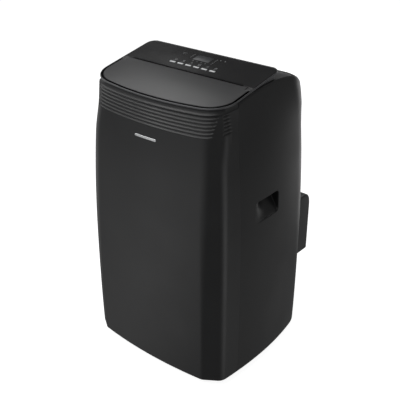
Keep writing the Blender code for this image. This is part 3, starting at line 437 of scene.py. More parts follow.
M = {
    "shell": plastic("ac_shell", (0.0140, 0.0142, 0.0148), 0.38, 0.55, bump=0.06, vary=0.06, wear_and_sheen=0.15),
    # darker copy of the shell plastic for the sides and back: painted shade, standing for light falling away from the
    # sides
    "shell_side": plastic("ac_shell_side_painted_shade", (0.0115, 0.0117, 0.0122), 0.38, 0.50, bump=0.06, vary=0.06, wear_and_sheen=0.15),
    # rear shoulder plastic lighter than the shell, painting part of the shoulder's bright grazing reflection
    "shoulder": plastic("ac_shoulder_painted_highlight", (0.034, 0.0345, 0.036), 0.36, 0.6, bump=0.06, vary=0.06, wear_and_sheen=0.15),
    # top surround plastic made far lighter than the shell so the up-facing bead reads bright: a painted highlight
    "rim": plastic("ac_rim_painted_highlight", (0.080, 0.081, 0.085), 0.34, 0.5, bump=0.04, vary=0.04, wear_and_sheen=0.2),
    "flap": plastic("ac_flap", (0.028, 0.0284, 0.0295), 0.31, 0.5, bump=0.04, vary=0.04, wear_and_sheen=0.1),
    "deck": plastic("ac_deck", (0.0064, 0.0064, 0.0070), 0.20, 0.33, bump=0.01, vary=0.05, wear_and_sheen=0.0),
    "window": plastic("ac_window", (0.036, 0.038, 0.041), 0.30, 0.30, bump=0.0, vary=0.15, wear_and_sheen=0.0, blotch=160.0),
    "dim": plastic("ac_print_dim", (0.26, 0.265, 0.27), 0.5, 0.3, bump=0.02, vary=0.10, wear_and_sheen=0.0),
    "key": plastic("ac_key", (0.72, 0.73, 0.74), 0.42, 0.35, bump=0.04, vary=0.03, wear_and_sheen=0.0),
    "grille": plastic("ac_grille", (0.026, 0.026, 0.027), 0.50, 0.34, bump=0.18),
    # near-black matte plastic standing in for shade in the flap's groove and under the flap: painted shade
    "shade_black": plastic("ac_painted_shade_black", (0.0025, 0.0025, 0.0026), 0.80, 0.10, grain=900.0, bump=0.1, vary=0.2, wear_and_sheen=0.0),
    "rubber": plastic("ac_rubber", (0.016, 0.016, 0.016), 0.72, 0.22, grain=900.0, bump=0.25, wear_and_sheen=0.35),
    "badge": metal("ac_badge", (0.78, 0.79, 0.80), 0.30, (60, 1, 1), 40.0, 0.55, 0.05),
    "inner": plastic("ac_inner", (0.62, 0.63, 0.63), 0.55, 0.35, bump=0.10, vary=0.04),
    "foam": plastic("ac_foam", (0.78, 0.78, 0.76), 0.90, 0.20, grain=420.0, bump=0.6, vary=0.06, wear_and_sheen=0.0),
    "board": plastic("ac_board", (0.02, 0.13, 0.06), 0.45, 0.4, grain=300.0, bump=0.2, vary=0.25, blotch=120.0),
    "paint": plastic("ac_paint", (0.014, 0.014, 0.015), 0.42, 0.45, grain=500.0, bump=0.25),
    "steel": metal("ac_steel", (0.40, 0.41, 0.42)),
    "copper": metal("ac_copper", (0.72, 0.38, 0.22), 0.28, (1, 1, 1), 90.0),
    "aluminium": banded("ac_fins", (0.30, 0.31, 0.32), (0.75, 0.76, 0.77), "X", 0.0018, 0.35, 0.9, 0.8),
    "filter": banded("ac_filter", (0.012, 0.014, 0.016), (0.085, 0.10, 0.115), "X", 0.0016, 0.75, 0.0, 0.8, ("Z", 0.0016)),
}


# --------------------------------------------------------------- mesh utilities
def put(name, bm, mat, body="cabinet", nodes=(), sharp=0.6, weld=1e-6, shift=True):
    """Turn a bmesh in the cabinet's frame into a piece that rides a body."""
    if weld:
        bmesh.ops.remove_doubles(bm, verts=bm.verts, dist=weld)
    if shift:
        for v in bm.verts:
            v.co.y += YS
    me = bpy.data.meshes.new(name)
    bm.to_mesh(me)
    bm.free()
    ob = bpy.data.objects.new(name, me)
    bpy.context.scene.collection.objects.link(ob)
    me.materials.append(M[mat])
    me.shade_smooth()
    me.set_sharp_from_angle(angle=sharp)
    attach(ob, body)
    if nodes:
        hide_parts(*nodes)
    return ob


def tmp(bm):
    me = bpy.data.meshes.new("tmp")
    bm.to_mesh(me)
    bm.free()
    ob = bpy.data.objects.new("tmp", me)
    bpy.context.scene.collection.objects.link(ob)
    return ob


def cut(bm, others, op="DIFFERENCE"):
    """Boolean of a bmesh with others; everything in the cabinet's frame."""
    a = tmp(bm)
    for o in others:
        b = tmp(o)
        mod = a.modifiers.new("b", "BOOLEAN")
        mod.operation, mod.solver, mod.object = op, "EXACT", b
        me = bpy.data.meshes.new_from_object(a.evaluated_get(bpy.context.evaluated_depsgraph_get()))
        a.modifiers.clear()
        a.data = me
        bpy.data.objects.remove(b)
    out = bmesh.new()
    out.from_mesh(a.data)
    bpy.data.objects.remove(a)
    bmesh.ops.remove_doubles(out, verts=out.verts, dist=1e-6)
    bmesh.ops.dissolve_degenerate(out, edges=out.edges, dist=1e-6)
    return out


def bevelled(ob, width, segments=2, angle=35):
    b = ob.modifiers.new("edges", "BEVEL")
    b.width, b.segments, b.limit_method, b.angle_limit = width, segments, "ANGLE", math.radians(angle)
    b.use_clamp_overlap = True
    b.harden_normals = False
    return ob


def baked(ob, sharp):
    """Apply the modifiers and mark the sharp edges of the result."""
    me = bpy.data.meshes.new_from_object(ob.evaluated_get(bpy.context.evaluated_depsgraph_get()))
    old = ob.data
    ob.modifiers.clear()
    ob.data = me
    bpy.data.meshes.remove(old)
    me.name = ob.name
    me.shade_smooth()
    me.set_sharp_from_angle(angle=sharp)
    return ob


def solid(ob, t):
    s = ob.modifiers.new("wall", "SOLIDIFY")
    s.thickness, s.offset, s.use_even_offset = t, -1.0, True
    return ob


def boxm(x0, x1, y0, y1, z0, z1, r=0.0, seg=3, only=None):
    """Box with rounded edges."""
    bm = bmesh.new()
    vs = [bm.verts.new((x, y, z)) for z in (z0, z1) for y in (y0, y1) for x in (x0, x1)]
    for f in ((0, 2, 3, 1), (4, 5, 7, 6), (0, 1, 5, 4), (2, 6, 7, 3), (0, 4, 6, 2), (1, 3, 7, 5)):
        bm.faces.new([vs[i] for i in f])
    if r:
        ed = bm.edges[:]
        if only is not None:
            ed = [e for e in ed if abs((e.verts[0].co - e.verts[1].co).normalized()[only]) > 0.9]
        bmesh.ops.bevel(bm, geom=ed, offset=r, segments=seg, profile=0.5, affect="EDGES")
    return bm


def add(bm, other):
    me = bpy.data.meshes.new("m")
    other.to_mesh(me)
    other.free()
    bm.from_mesh(me)
    bpy.data.meshes.remove(me)
    return bm


def loft(bm, rings, close=True, wrap=True):
    loops = [[bm.verts.new(p) for p in r] for r in rings]
    n = len(loops[0])
    for a, b in zip(loops, loops[1:]):
        for i in range(n if wrap else n - 1):
            j = (i + 1) % n
            bm.faces.new((a[i], a[j], b[j], b[i]))
    if close:
        bm.faces.new(list(reversed(loops[0])))
        bm.faces.new(loops[-1])
    return loops


def turned(profile, centre, axis="Y", n=48):
    """Closed profile of (radius, height) turned round an axis."""
    bm = bmesh.new()
    rings = []
    for i in range(n):
        a = 2 * math.pi * i / n
        c, s = math.cos(a), math.sin(a)
        r_ = []
        for r, h in profile:
            if axis == "Y":
                r_.append((centre[0] + r * c, centre[1] + h, centre[2] + r * s))
            elif axis == "X":
                r_.append((centre[0] + h, centre[1] + r * c, centre[2] + r * s))
            else:
                r_.append((centre[0] + r * c, centre[1] + r * s, centre[2] + h))
        rings.append(r_)
    loops = [[bm.verts.new(p) for p in r_] for r_ in rings]
    m = len(profile)
    for k in range(n):
        a, b = loops[k], loops[(k + 1) % n]
        for i in range(m):
            j = (i + 1) % m
            if (a[i].co - b[i].co).length < 1e-9 and (a[j].co - b[j].co).length < 1e-9:
                continue
            bm.faces.new((a[i], a[j], b[j], b[i]))
    bmesh.ops.remove_doubles(bm, verts=bm.verts, dist=1e-7)
    bmesh.ops.dissolve_degenerate(bm, edges=bm.edges, dist=1e-8)
    bmesh.ops.recalc_face_normals(bm, faces=bm.faces)
    return bm


def disc(profile, centre, axis="Y", n=48):
    """Solid turned form whose profile starts and ends on the axis."""
    return turned([(0.0, profile[0][1])] + list(profile) + [(0.0, profile[-1][1])], centre, axis, n)


# ------------------------------------------------------------------ shell walls
def wall_sheet(i0, i1, levels, gap=0.00012):
    """Open sheet of the shell between two stations. Levels are (height, inset
    function of the station)."""
    bm = bmesh.new()
    rows = []
    for z, fn in levels:
        pts = [on_wall(i, z, fn(i)) for i in range(i0, i1 + 1)]
        for a, b in ((0, 1), (-1, -2)):
            pts[a] = pts[a] + (pts[b] - pts[a]).normalized() * gap
        rows.append([bm.verts.new(p) for p in pts])
    n = i1 - i0 + 1
    for a, b in zip(rows, rows[1:]):
        for i in range(n - 1):
            bm.faces.new((a[i], a[i + 1], b[i + 1], b[i]))
    return bm, rows


NONE = lambda i: 0.0
base_levels = [Z_BOTTOM, 0.030, 0.045, 0.065, 0.09, 0.12, 0.15, 0.18, 0.21, 0.24, 0.27, 0.30, 0.33, 0.36, 0.39, 0.42, 0.45,
               0.48, 0.50, 0.52, 0.54, 0.555, 0.57, 0.585, 0.600, 0.612, 0.624, 0.634, 0.640]


def rib_mask(i, z):
    """Ribs run out at the corner facet and end as stubs on the return."""
    c = (abs(i) - K0) / NK
    t = clamp((z - RIB_Z0) / (RIB_PITCH * (RIB_COUNT - 1)))
    e = lerp(0.330, 0.435, t * t)
    f = lerp(0.650, 0.720, t)
    left = 1 - ramp(c, e - 0.040, e + 0.025)
    right = ramp(c, f - 0.010, f + 0.045) * (1 - ramp(c, 0.99, 1.07))
    return max(left, 0.8 * right)


def cove_mask(i):
    c = (abs(i) - K0) / NK
    return 1 - ramp(c, 0.72, 1.10)


front_levels = [(z, NONE) for z in base_levels]
for r in range(RIB_COUNT):
    zc = RIB_Z0 + RIB_PITCH * r
    for dz, f in ((-0.0030, 0.0), (-0.0024, 0.06), (-0.0016, 0.30), (-0.0008, 0.62), (0.0000, 0.90), (0.0005, 1.0), (0.0011, 1.0), (0.0014, 0.85), (0.0017, 0.20), (0.0020, 0.0)):
        front_levels.append((zc + dz, (lambda i, f=f, zc=zc: RIB_DEPTH * f * rib_mask(i, zc))))
COVE_Z, COVE_D = (0.6886, 0.6990), 0.0056
for k in range(11):
    a = math.pi / 2 * k / 10
    z, d = COVE_Z[0] + (COVE_Z[1] - COVE_Z[0]) * (1 - math.cos(a)), COVE_D * math.sin(a)
    front_levels.append((z, (lambda i, d=d: d * cove_mask(i) + (1 - cove_mask(i)) * 0.0016 * d / COVE_D)))
bm, _ = wall_sheet(-K_SEAM, K_SEAM, front_levels)
front = put("shell_front", bm, "shell", nodes=["front_panel"], sharp=0.9)
baked(solid(front, WALL), 0.9)


# side panels, each with its finger grip drawn into the skin
GRIP_RECT_Y = (HANDLE_Y[0] - 0.012, HANDLE_Y[1] + 0.010)
GRIP_RECT_Z = (HANDLE_Z[0] - 0.010, HANDLE_Z[1] + 0.010)


def side_x(y, z):
    """x of the side's surface at a point of the right side."""
    lo, hi = K_SEAM, K_C
    if y <= station(lo, z)[1]:
        return station(lo, z)[0]
    if y >= station(hi, z)[1]:
        return station(hi, z)[0]
    while hi - lo > 1:
        m = (lo + hi) // 2
        if station(m, z)[1] <= y:
            lo = m
        else:
            hi = m
    a, b = station(lo, z), station(hi, z)
    return a[0] + (b[0] - a[0]) * (y - a[1]) / (b[1] - a[1])


def grip_depth(y, z):
    """Floor of the grip: deepest at its upper rear end and running out towards
    the front and the bottom."""
    s = clamp((y - HANDLE_Y[0]) / (HANDLE_Y[1] - HANDLE_Y[0]))
    v = clamp((z - HANDLE_Z[0]) / (HANDLE_Z[1] - HANDLE_Z[0]))
    return 0.0016 * ramp(s, 0.05, 0.5) + 0.031 * v ** 0.95 * ramp(s, -0.05, 0.62)


def side_panel(name, node, sgn):
    zs = [z for z in base_levels if not GRIP_RECT_Z[0] - 0.004 < z < GRIP_RECT_Z[1] + 0.004]
    zg = [lerp(*GRIP_RECT_Z, k / 14) for k in range(15)]
    zs = sorted(zs + zg) + [0.650, 0.662, 0.674, 0.686, 0.6930, 0.6955, 0.6972, 0.6983, 0.6990]

    def top_inset(z):
        return 0.0016 * smooth((z - 0.6945) / 0.0045) ** 1.5

    bm = bmesh.new()
    cols = []
    ny = 20
    rows = []
    for z in zs:
        seg = [on_wall(i, z, top_inset(z)) for i in range(K_SEAM, K_REAR + 1)]
        # resample the straight run so that its columns match the grip's patch
        front_part, rear_part = [], []
        y0, y1 = seg[0].y, seg[NS2].y

        def at(y):
            for a, b in zip(seg[:NS2 + 1], seg[1:NS2 + 1]):
                if a.y <= y <= b.y:
                    return a + (b - a) * ((y - a.y) / (b.y - a.y))
            return seg[NS2].copy()
        ya = [lerp(y0, GRIP_RECT_Y[0], k / 5) for k in range(5)]
        yb = [lerp(*GRIP_RECT_Y, k / ny) for k in range(ny + 1)]
        yc = [lerp(GRIP_RECT_Y[1], y1, k / 9) for k in range(1, 10)]
        line = [at(y) for y in ya + yb + yc] + seg[NS2 + 1:]
        for a, b in ((0, 1), (-1, -2)):
            d = (line[b] - line[a]).normalized()
            line[a] = line[a] + d * 0.00012
        rows.append([bm.verts.new(p) for p in line])
    i0, i1 = 5, 5 + ny
    j0 = min(range(len(zs)), key=lambda j: abs(zs[j] - GRIP_RECT_Z[0]))
    j1 = min(range(len(zs)), key=lambda j: abs(zs[j] - GRIP_RECT_Z[1]))
    for j in range(len(zs) - 1):
        for i in range(len(rows[0]) - 1):
            if j0 <= j < j1 and i0 <= i < i1:
                continue
            a, b = rows[j], rows[j + 1]
            bm.faces.new((a[i], a[i + 1], b[i + 1], b[i]))
    # boundary of the patch, counter-clockwise seen from outside
    loop = [(i, j0) for i in range(i0, i1)] + [(i1, j) for j in range(j0, j1)] + [(i, j1) for i in range(i1, i0, -1)] + [(i0, j) for j in range(j1, j0, -1)]
    outer = [rows[j][i] for i, j in loop]
    cy, cz = sum(HANDLE_Y) / 2, sum(HANDLE_Z) / 2
    hy, hz = (HANDLE_Y[1] - HANDLE_Y[0]) / 2, (HANDLE_Z[1] - HANDLE_Z[0]) / 2
    ry, rz = (GRIP_RECT_Y[1] - GRIP_RECT_Y[0]) / 2, (GRIP_RECT_Z[1] - GRIP_RECT_Z[0]) / 2
    my, mz = sum(GRIP_RECT_Y) / 2, sum(GRIP_RECT_Z) / 2

    def mouth(i, inset, rad=0.0100):
        i_, j_ = loop[i]
        u = (lerp(*GRIP_RECT_Y, (i_ - i0) / (i1 - i0)) - my) / ry
        v = (lerp(*GRIP_RECT_Z, (j_ - j0) / (j1 - j0)) - mz) / rz
        px, pz = u * hy, v * hz
        ix, iz = clamp(px, -(hy - rad), hy - rad), clamp(pz, -(hz - rad), hz - rad)
        d = Vector((px - ix, pz - iz))
        d = d.normalized() if d.length > 1e-9 else Vector((0, 0))
        return Vector((cy + ix, cz + iz)) + d * (rad - inset)

    n = len(loop)
    prev = outer
    spec = [(-0.0055, 0.0), (-0.0026, 0.0), (-0.0012, 0.0), (-0.0005, 0.00012), (0.0, 0.0005), (0.00025, 0.0011), (0.0005, 0.0022),
            (0.0008, 0.40), (0.0011, 0.75), (0.0014, 0.92), (0.0020, 0.975), (0.0030, 1.0)]
    for inset, dep in spec:
        cur = []
        for i in range(n):
            p = mouth(i, inset)
            d = grip_depth(*mouth(i, 0.0030))
            if inset <= 0.0005:
                dd = min(dep, d * clamp(0.25 + inset / 0.0010) if inset >= 0 else dep, d)
            else:
                dd = lerp(min(0.0022, 0.5 * d), d, dep)
            cur.append(bm.verts.new((side_x(p.x, p.y) - dd, p.x, p.y)))
        for i in range(n):
            j = (i + 1) % n
            bm.faces.new((prev[i], prev[j], cur[j], cur[i]))
        prev = cur
    floor_edge = [mouth(i, 0.0030) for i in range(n)]
    c = Vector((cy, cz))
    for k in (0.85, 0.70, 0.55, 0.40, 0.26, 0.13):
        cur = []
        for i in range(n):
            p = c + (floor_edge[i] - c) * k
            cur.append(bm.verts.new((side_x(p.x, p.y) - grip_depth(p.x, p.y), p.x, p.y)))
        for i in range(n):
            j = (i + 1) % n
            bm.faces.new((prev[i], prev[j], cur[j], cur[i]))
        prev = cur
    mid = bm.verts.new((side_x(c.x, c.y) - grip_depth(c.x, c.y), c.x, c.y))
    for i in range(n):
        bm.faces.new((prev[i], prev[(i + 1) % n], mid))
    if sgn < 0:
        for v in bm.verts:
            v.co.x *= -1
        bmesh.ops.reverse_faces(bm, faces=bm.faces[:])
    # the side panels take the darker copy of the shell plastic, which paints their shade
    ob = put(name, bm, "shell_side", nodes=node, sharp=1.0)
    return baked(solid(ob, 0.0026), 0.9)


side_panel("shell_right", ["right_side_panel", "right_handle_cup"], 1)
side_panel("shell_left", ["left_side_panel", "left_handle_cup"], -1)

# rear panel
UP_GRILLE = (-0.105, 0.105, 0.405, 0.625)
LO_GRILLE = (-0.118, -0.040, 0.075, 0.330)
rear_levels = [(z, NONE) for z in base_levels] + [(z, NONE) for z in (0.655, 0.670, 0.685, 0.6945)] + [(0.6975, lambda i: 0.0005), (0.6990, lambda i: 0.0014)]
bm, _ = wall_sheet(K_REAR, N_RING - K_REAR, rear_levels)
sheet = tmp(bm)
solid(sheet, WALL)
me = bpy.data.meshes.new_from_object(sheet.evaluated_get(bpy.context.evaluated_depsgraph_get()))
bpy.data.objects.remove(sheet)
bm = bmesh.new()
bm.from_mesh(me)
cutters = [boxm(x0, x1, HR - 0.06, HR + 0.02, z0, z1, 0.004, 4, only=1) for x0, x1, z0, z1 in (UP_GRILLE, LO_GRILLE)]
cutters.append(disc([(HOSE_R + 0.0005, -0.05), (HOSE_R + 0.0005, 0.05)], (ADAPT_CX, HR - 0.01, ADAPT_CZ), n=64))
for x, z, r in ((-0.08, 0.365, 0.0065), (0.10, 0.052, 0.0065), (0.108, 0.115, 0.0075)):
    cutters.append(disc([(r, -0.05), (r, 0.05)], (x, HR, z), n=32))
bm = cut(bm, cutters)
rear = put("shell_rear", bm, "shell_side", nodes=["rear_panel"], sharp=0.7)


# ----------------------------------------------------------------- top surround
def top_path(inset=0.0, rear_r=0.022, step=0):
    """Plan of the sloping top from its front middle, counter-clockwise, with
    rounded rear corners; the rear edge is straight at DECK_REAR."""
    r = ring(Z_TAPER, inset)[:K_C]
    yr = DECK_REAR - inset
    rc = max(0.003, rear_r - inset)
    keep = [p for p in r if p[1] < yr - rc - 0.001]
    xr = HALF_W - inset
    arc = [(xr - rc + rc * math.cos(math.pi / 2 * k / 10), yr - rc + rc * math.sin(math.pi / 2 * k / 10)) for k in range(11)]
    back = [((xr - rc) * (1 - k / 8), yr) for k in range(1, 9)]
    h = keep + arc + back
    return h + [(-x, y) for x, y in reversed(h[1:-1])]


def top_ring(profile):
    """Sweep a profile of (inset, height above the top plane) round the top."""
    bm = bmesh.new()
    loops = []
    paths = {}
    n = None
    for ins, w in profile:
        base = top_path(0.0)
        m = len(base)
        pts = []
        for i in range(m):
            a, b, c = Vector(base[i - 1]), Vector(base[i]), Vector(base[(i + 1) % m])
            n1 = Vector(((b - a).y, -(b - a).x)).normalized()
            n2 = Vector(((c - b).y, -(c - b).x)).normalized()
            q = b - (n1 + n2).normalized() * (ins(b.y) if callable(ins) else ins)
            pts.append((q.x, q.y, (w(b.y) if callable(w) else plane_z(q.y) + w)))
        loops.append(pts)
    vs = [[bm.verts.new(p) for p in r] for r in loops]
    k = len(vs)
    m = len(vs[0])
    for a in range(k):
        b = (a + 1) % k
        for i in range(m):
            j = (i + 1) % m
            bm.faces.new((vs[a][i], vs[a][j], vs[b][j], vs[b][i]))
    bmesh.ops.recalc_face_normals(bm, faces=bm.faces)
    return bm


def skirt_foot(y):
    return lerp(min(plane_z(y) - 0.012, rim_z(y) - 0.006), rim_z(y) + 0.0012, ramp(y, 0.000, 0.010))


def skirt_in(y, extra=0.0):
    """The skirt stands behind the front panel's cove and closer to the sides."""
    return lerp(0.0098, 0.0054, ramp(y, -0.128, -0.100)) + extra


surround = top_ring([
    (lambda y: skirt_in(y), skirt_foot), (lambda y: skirt_in(y), lambda y: plane_z(y) - 0.0052),
    (lambda y: skirt_in(y, -0.0008), lambda y: plane_z(y) - 0.0044), (0.0022, -0.0042), (0.0011, -0.0038), (0.0004, -0.0031), (0.0001, -0.0021),
    (0.0000, -0.0011), (0.0002, -0.0002), (0.0007, 0.0004), (0.0013, 0.0006), (0.0019, 0.0003), (0.0023, -0.0003),
    (0.0025, -0.0012), (0.0025, -0.0037), (0.0030, -0.0040), (lambda y: skirt_in(y, 0.0024), -0.0041), (lambda y: skirt_in(y, 0.0024), skirt_foot)])
# the surround takes the lightened rim plastic, which paints the bead's highlight
put("top_surround", surround, "rim", nodes=["top_cover"], sharp=0.9)


def poly_prism(poly, zb, zt):
    bm = bmesh.new()
    lo = [bm.verts.new((x, y, zb(y))) for x, y in poly]
    hi = [bm.verts.new((x, y, zt(y))) for x, y in poly]
    n = len(poly)
    bm.faces.new(list(reversed(lo)))
    bm.faces.new(hi)
    for i in range(n):
        j = (i + 1) % n
        bm.faces.new((lo[i], lo[j], hi[j], hi[i]))
    bmesh.ops.recalc_face_normals(bm, faces=bm.faces)
    return bm


def clip(poly, lo=-9.0, hi=9.0):
    for lim, sign in ((lo, 1), (hi, -1)):
        out = []
        n = len(poly)
        for i in range(n):
            a, b = poly[i], poly[(i + 1) % n]
            da, db = sign * (a[1] - lim), sign * (b[1] - lim)
            if da >= 0:
                out.append(a)
            if (da > 0 > db) or (da < 0 < db):
                t = da / (da - db)
                out.append((a[0] + (b[0] - a[0]) * t, lim))
        poly = out
    return poly


def off(d):
    return lambda y: plane_z(y) + d


def rounded_plate(poly, top, bottom, r, seg=3, crown=0.0):
    """Thin plate on a plan polygon with its upper edge rounded."""
    P = [Vector(p) for p in poly]
    n = len(P)
    nr = []
    for i in range(n):
        a, b, c = P[i - 1], P[i], P[(i + 1) % n]
        n1 = Vector(((b - a).y, -(b - a).x)).normalized()
        n2 = Vector(((c - b).y, -(c - b).x)).normalized()
        m = (n1 + n2).normalized()
        nr.append(m / max(0.5, m.dot(n1)))
    rings = []
    prof = [(0.0, bottom), (0.0, top - r)]
    for k in range(1, seg + 1):
        a = math.pi / 2 * k / seg
        prof.append((r * (1 - math.cos(a)), top - r + r * math.sin(a)))
    prof.append((r + 0.0004, top))
    for ins, w in prof:
        rings.append([((P[i] - nr[i] * ins).x, (P[i] - nr[i] * ins).y, plane_z((P[i] - nr[i] * ins).y) + w) for i in range(n)])
    bm = bmesh.new()
    loft(bm, rings)
    bmesh.ops.recalc_face_normals(bm, faces=bm.faces)
    return bm


# inner ledge of the top that holds the deck and the outlet throat
ledge = poly_prism(clip(ring(Z_TAPER, 0.0062), lo=GAP_LINE + 0.0060, hi=DECK_REAR - 0.0062), off(-0.0062), off(-0.0036))
ledge = cut(ledge, [poly_prism([(KEY_X0 - 0.012, KEY_Y - 0.0045), (KEY_X0 + 5 * KEY_PITCH + 0.012, KEY_Y - 0.0045), (KEY_X0 + 5 * KEY_PITCH + 0.012, KEY_Y + 0.0045), (KEY_X0 - 0.012, KEY_Y + 0.0045)], off(-0.02), off(0.01))])
ledge = put("deck_ledge", ledge, "grille", sharp=0.6)
baked(bevelled(ledge, 0.0004, 2), 0.6)
well = poly_prism(clip(ring(Z_TAPER, 0.0062), lo=-0.5, hi=GAP_LINE + 0.0039), off(-0.0155), off(-0.0130))
well = cut(well, [poly_prism([(-0.1465, -0.1485), (0.1465, -0.1485), (0.1465, -0.0715), (-0.1465, -0.0715)], off(-0.03), off(0.01))])
well = put("outlet_well", well, "grille", sharp=0.6)
baked(bevelled(well, 0.0005, 2), 0.6)

# ---------------------------------------------------------------- outlet flap
FLAP_IN, FLAP_REAR = 0.0077, GAP_LINE - 0.0026
flap_poly = clip(ring(Z_TAPER, FLAP_IN), hi=FLAP_REAR)


def notch(poly, x_edge, y_edge):
    """Cut the polygon's two rear corners square where the hinges sit."""
    right = [p for p in poly if p[0] > 0]
    out = []
    for p in poly:
        if p[1] > y_edge and abs(p[0]) > x_edge:
            continue
        out.append(p)
    k = max(range(len(out)), key=lambda i: (out[i][1] if out[i][0] > 0 and abs(out[i][0]) > x_edge else -9))
    xr = out[k][0]
    seq = [(xr, y_edge), (x_edge + 0.0015, y_edge), (x_edge + 0.0004, y_edge + 0.0004), (x_edge, y_edge + 0.0015), (x_edge, FLAP_REAR)]
    left = [(-x, y) for x, y in reversed(seq)]
    return out[:k + 1] + seq + left + out[k + 1:]


flap_poly = notch(flap_poly, 0.1755, -0.0632)
seen = []
for p in flap_poly:
    if not seen or (Vector(p) - Vector(seen[-1])).length > 1e-5:
        seen.append(p)
flap_poly = seen


def crowned(bm, height):
    """Raise the middle of a plate's upper face into a shallow crown."""
    y0, y1 = min(v.co.y for v in bm.verts), max(v.co.y for v in bm.verts)
    w = max(abs(v.co.x) for v in bm.verts)
    for k in range(1, 20):
        bmesh.ops.bisect_plane(bm, geom=bm.verts[:] + bm.edges[:] + bm.faces[:], dist=1e-6, plane_co=(0, lerp(y0, y1, k / 20), 0), plane_no=(0, 1, 0))
    for k in range(-9, 10):
        x = w * math.copysign(1 - (1 - abs(k) / 10) ** 1.6, k)
        bmesh.ops.bisect_plane(bm, geom=bm.verts[:] + bm.edges[:] + bm.faces[:], dist=1e-6, plane_co=(x, 0, 0), plane_no=(1, 0, 0))
    for v in bm.verts:
        if v.co.z - plane_z(v.co.y) > 0.0005:
            u = clamp((v.co.y - y0 - 0.004) / (y1 - y0 - 0.004))
            v.co.z += height * 4 * u * (1 - u) * (1 - (abs(v.co.x) / w) ** 4)
    return bm


put("outlet_flap_skin", crowned(rounded_plate(flap_poly, 0.0006, -0.0006, 0.0008, 3), 0.0019), "flap", body="flap", nodes=["louver_flap"], sharp=0.55)
c_ = Vector((0, -0.12))
flap = rounded_plate([((Vector(p) - c_) * 0.9965 + c_)[:] for p in flap_poly], -0.0007, -0.0034, 0.0004, 2)
rim_o = clip(ring(Z_TAPER, 0.016), lo=-0.30, hi=-0.068)
rim_i = clip(ring(Z_TAPER, 0.018), lo=-0.30, hi=-0.070)
AXY, AXZ = AXIS_Y, plane_z(AXIS_Y) - AXIS_DROP
flap = cut(flap, [poly_prism(rim_o, off(-0.0070), off(-0.0022))], "UNION")
flap = cut(flap, [poly_prism(rim_i, off(-0.0100), off(-0.0030))])
flap = cut(flap, [boxm(min(s * 0.1725, s * 0.22), max(s * 0.1725, s * 0.22), -0.0705, -0.03, 0.60, 0.80) for s in (-1, 1)])
for s in (-1, 1):
    ear = boxm(min(s * 0.164, s * 0.168), max(s * 0.164, s * 0.168), AXY - 0.0030, AXY + 0.0030, AXZ - 0.0030, AXZ + 0.0045, 0.0012, 3, only=0)
    pin = disc([(0.0018, 0.0), (0.0018, 0.0066), (0.0014, 0.0070)], (s * 0.1665, AXY, AXZ), "X", 24)
    if s < 0:
        for v in pin.verts:
            v.co.x = s * 0.1665 * 2 - v.co.x
        bmesh.ops.reverse_faces(pin, faces=pin.faces[:])
    flap = cut(flap, [ear], "UNION")
    flap = cut(flap, [pin], "UNION")
# the flap's under-body is near-black so that its edge reads as a dark line: painted shade
put("outlet_flap_frame", flap, "shade_black", body="flap", nodes=["louver_flap"], sharp=0.55)
# black seal lying in the groove between the flap and the bead, near-black so the groove reads as its shadow: painted
# shade
so, si = clip(ring(Z_TAPER, 0.0027), hi=GAP_LINE + 0.0030), clip(ring(Z_TAPER, 0.0128), hi=GAP_LINE + 0.0030)
shade_black = poly_prism(so, off(-0.0040), off(-0.0016))
inner_cut = poly_prism(clip(ring(Z_TAPER, 0.0034), hi=GAP_LINE + 0.0100), off(-0.0037), off(0.0100))
shade_black = cut(shade_black, [inner_cut, poly_prism(clip(ring(Z_TAPER, 0.0125), hi=0.10), off(-0.0100), off(0.0100))])
put("flap_groove_painted_shade", shade_black, "shade_black", sharp=0.6)

# hinge brackets and plain corner fillers beside the flap
for s, tag in ((1, "right"), (-1, "left")):
    x0, x1 = sorted((s * 0.1695, s * 0.1730))
    br = boxm(x0, x1, AXY - 0.0045, AXY + 0.0028, AXZ - 0.0095, AXZ + 0.0012, 0.0008, 2)
    br = cut(br, [disc([(0.0022, -0.006), (0.0022, 0.006)], (s * 0.171, AXY, AXZ), "X", 24)])
    put("hinge_bracket_" + tag, br, "grille", sharp=0.6)
    yb0_, yb1_ = -0.0626, GAP_LINE + 0.0018
    xa, xb = 0.1765, 0.1895
    poly = [(s * xa, yb0_), (s * xb, yb0_), (s * xb, yb1_), (s * xa, yb1_)]
    if s < 0:
        poly = list(reversed(poly))
    put("corner_filler_" + tag, rounded_plate(poly, 0.0002, -0.0046, 0.0006, 2), "flap", sharp=0.6)

# --------------------------------------------------------------------- the deck
def deck_poly(inset):
    base = top_path(0.0)
    m = len(base)
    pts = []
    for i in range(m):
        a, b, c = Vector(base[i - 1]), Vector(base[i]), Vector(base[(i + 1) % m])
        n1 = Vector(((b - a).y, -(b - a).x)).normalized()
        n2 = Vector(((c - b).y, -(c - b).x)).normalized()
        q = b - (n1 + n2).normalized() * inset
        pts.append((q.x, q.y))
    out = clip(pts, lo=GAP_LINE - 0.0008)
    k = max(range(len(out)), key=lambda i: abs(out[i][0] - out[i - 1][0]) * (out[i][1] < GAP_LINE) * (out[i - 1][1] < GAP_LINE))
    x0, x1 = out[k - 1][0], out[k][0]
    step = [(-0.1630, GAP_LINE - 0.0008), (-0.1626, GAP_LINE - 0.0004), (-0.1626, GAP_LINE + 0.0028), (0.1626, GAP_LINE + 0.0028), (0.1626, GAP_LINE - 0.0004), (0.1630, GAP_LINE - 0.0008)]
    if x1 < x0:
        step.reverse()
    return out[:k] + step + out[k:]


deck = rounded_plate(deck_poly(0.0030), 0.0003, -0.0030, 0.0006, 3)


def deck_pt(x, y, w):
    p = Vector((x, y, plane_z(y))) + NRM * w
    return p


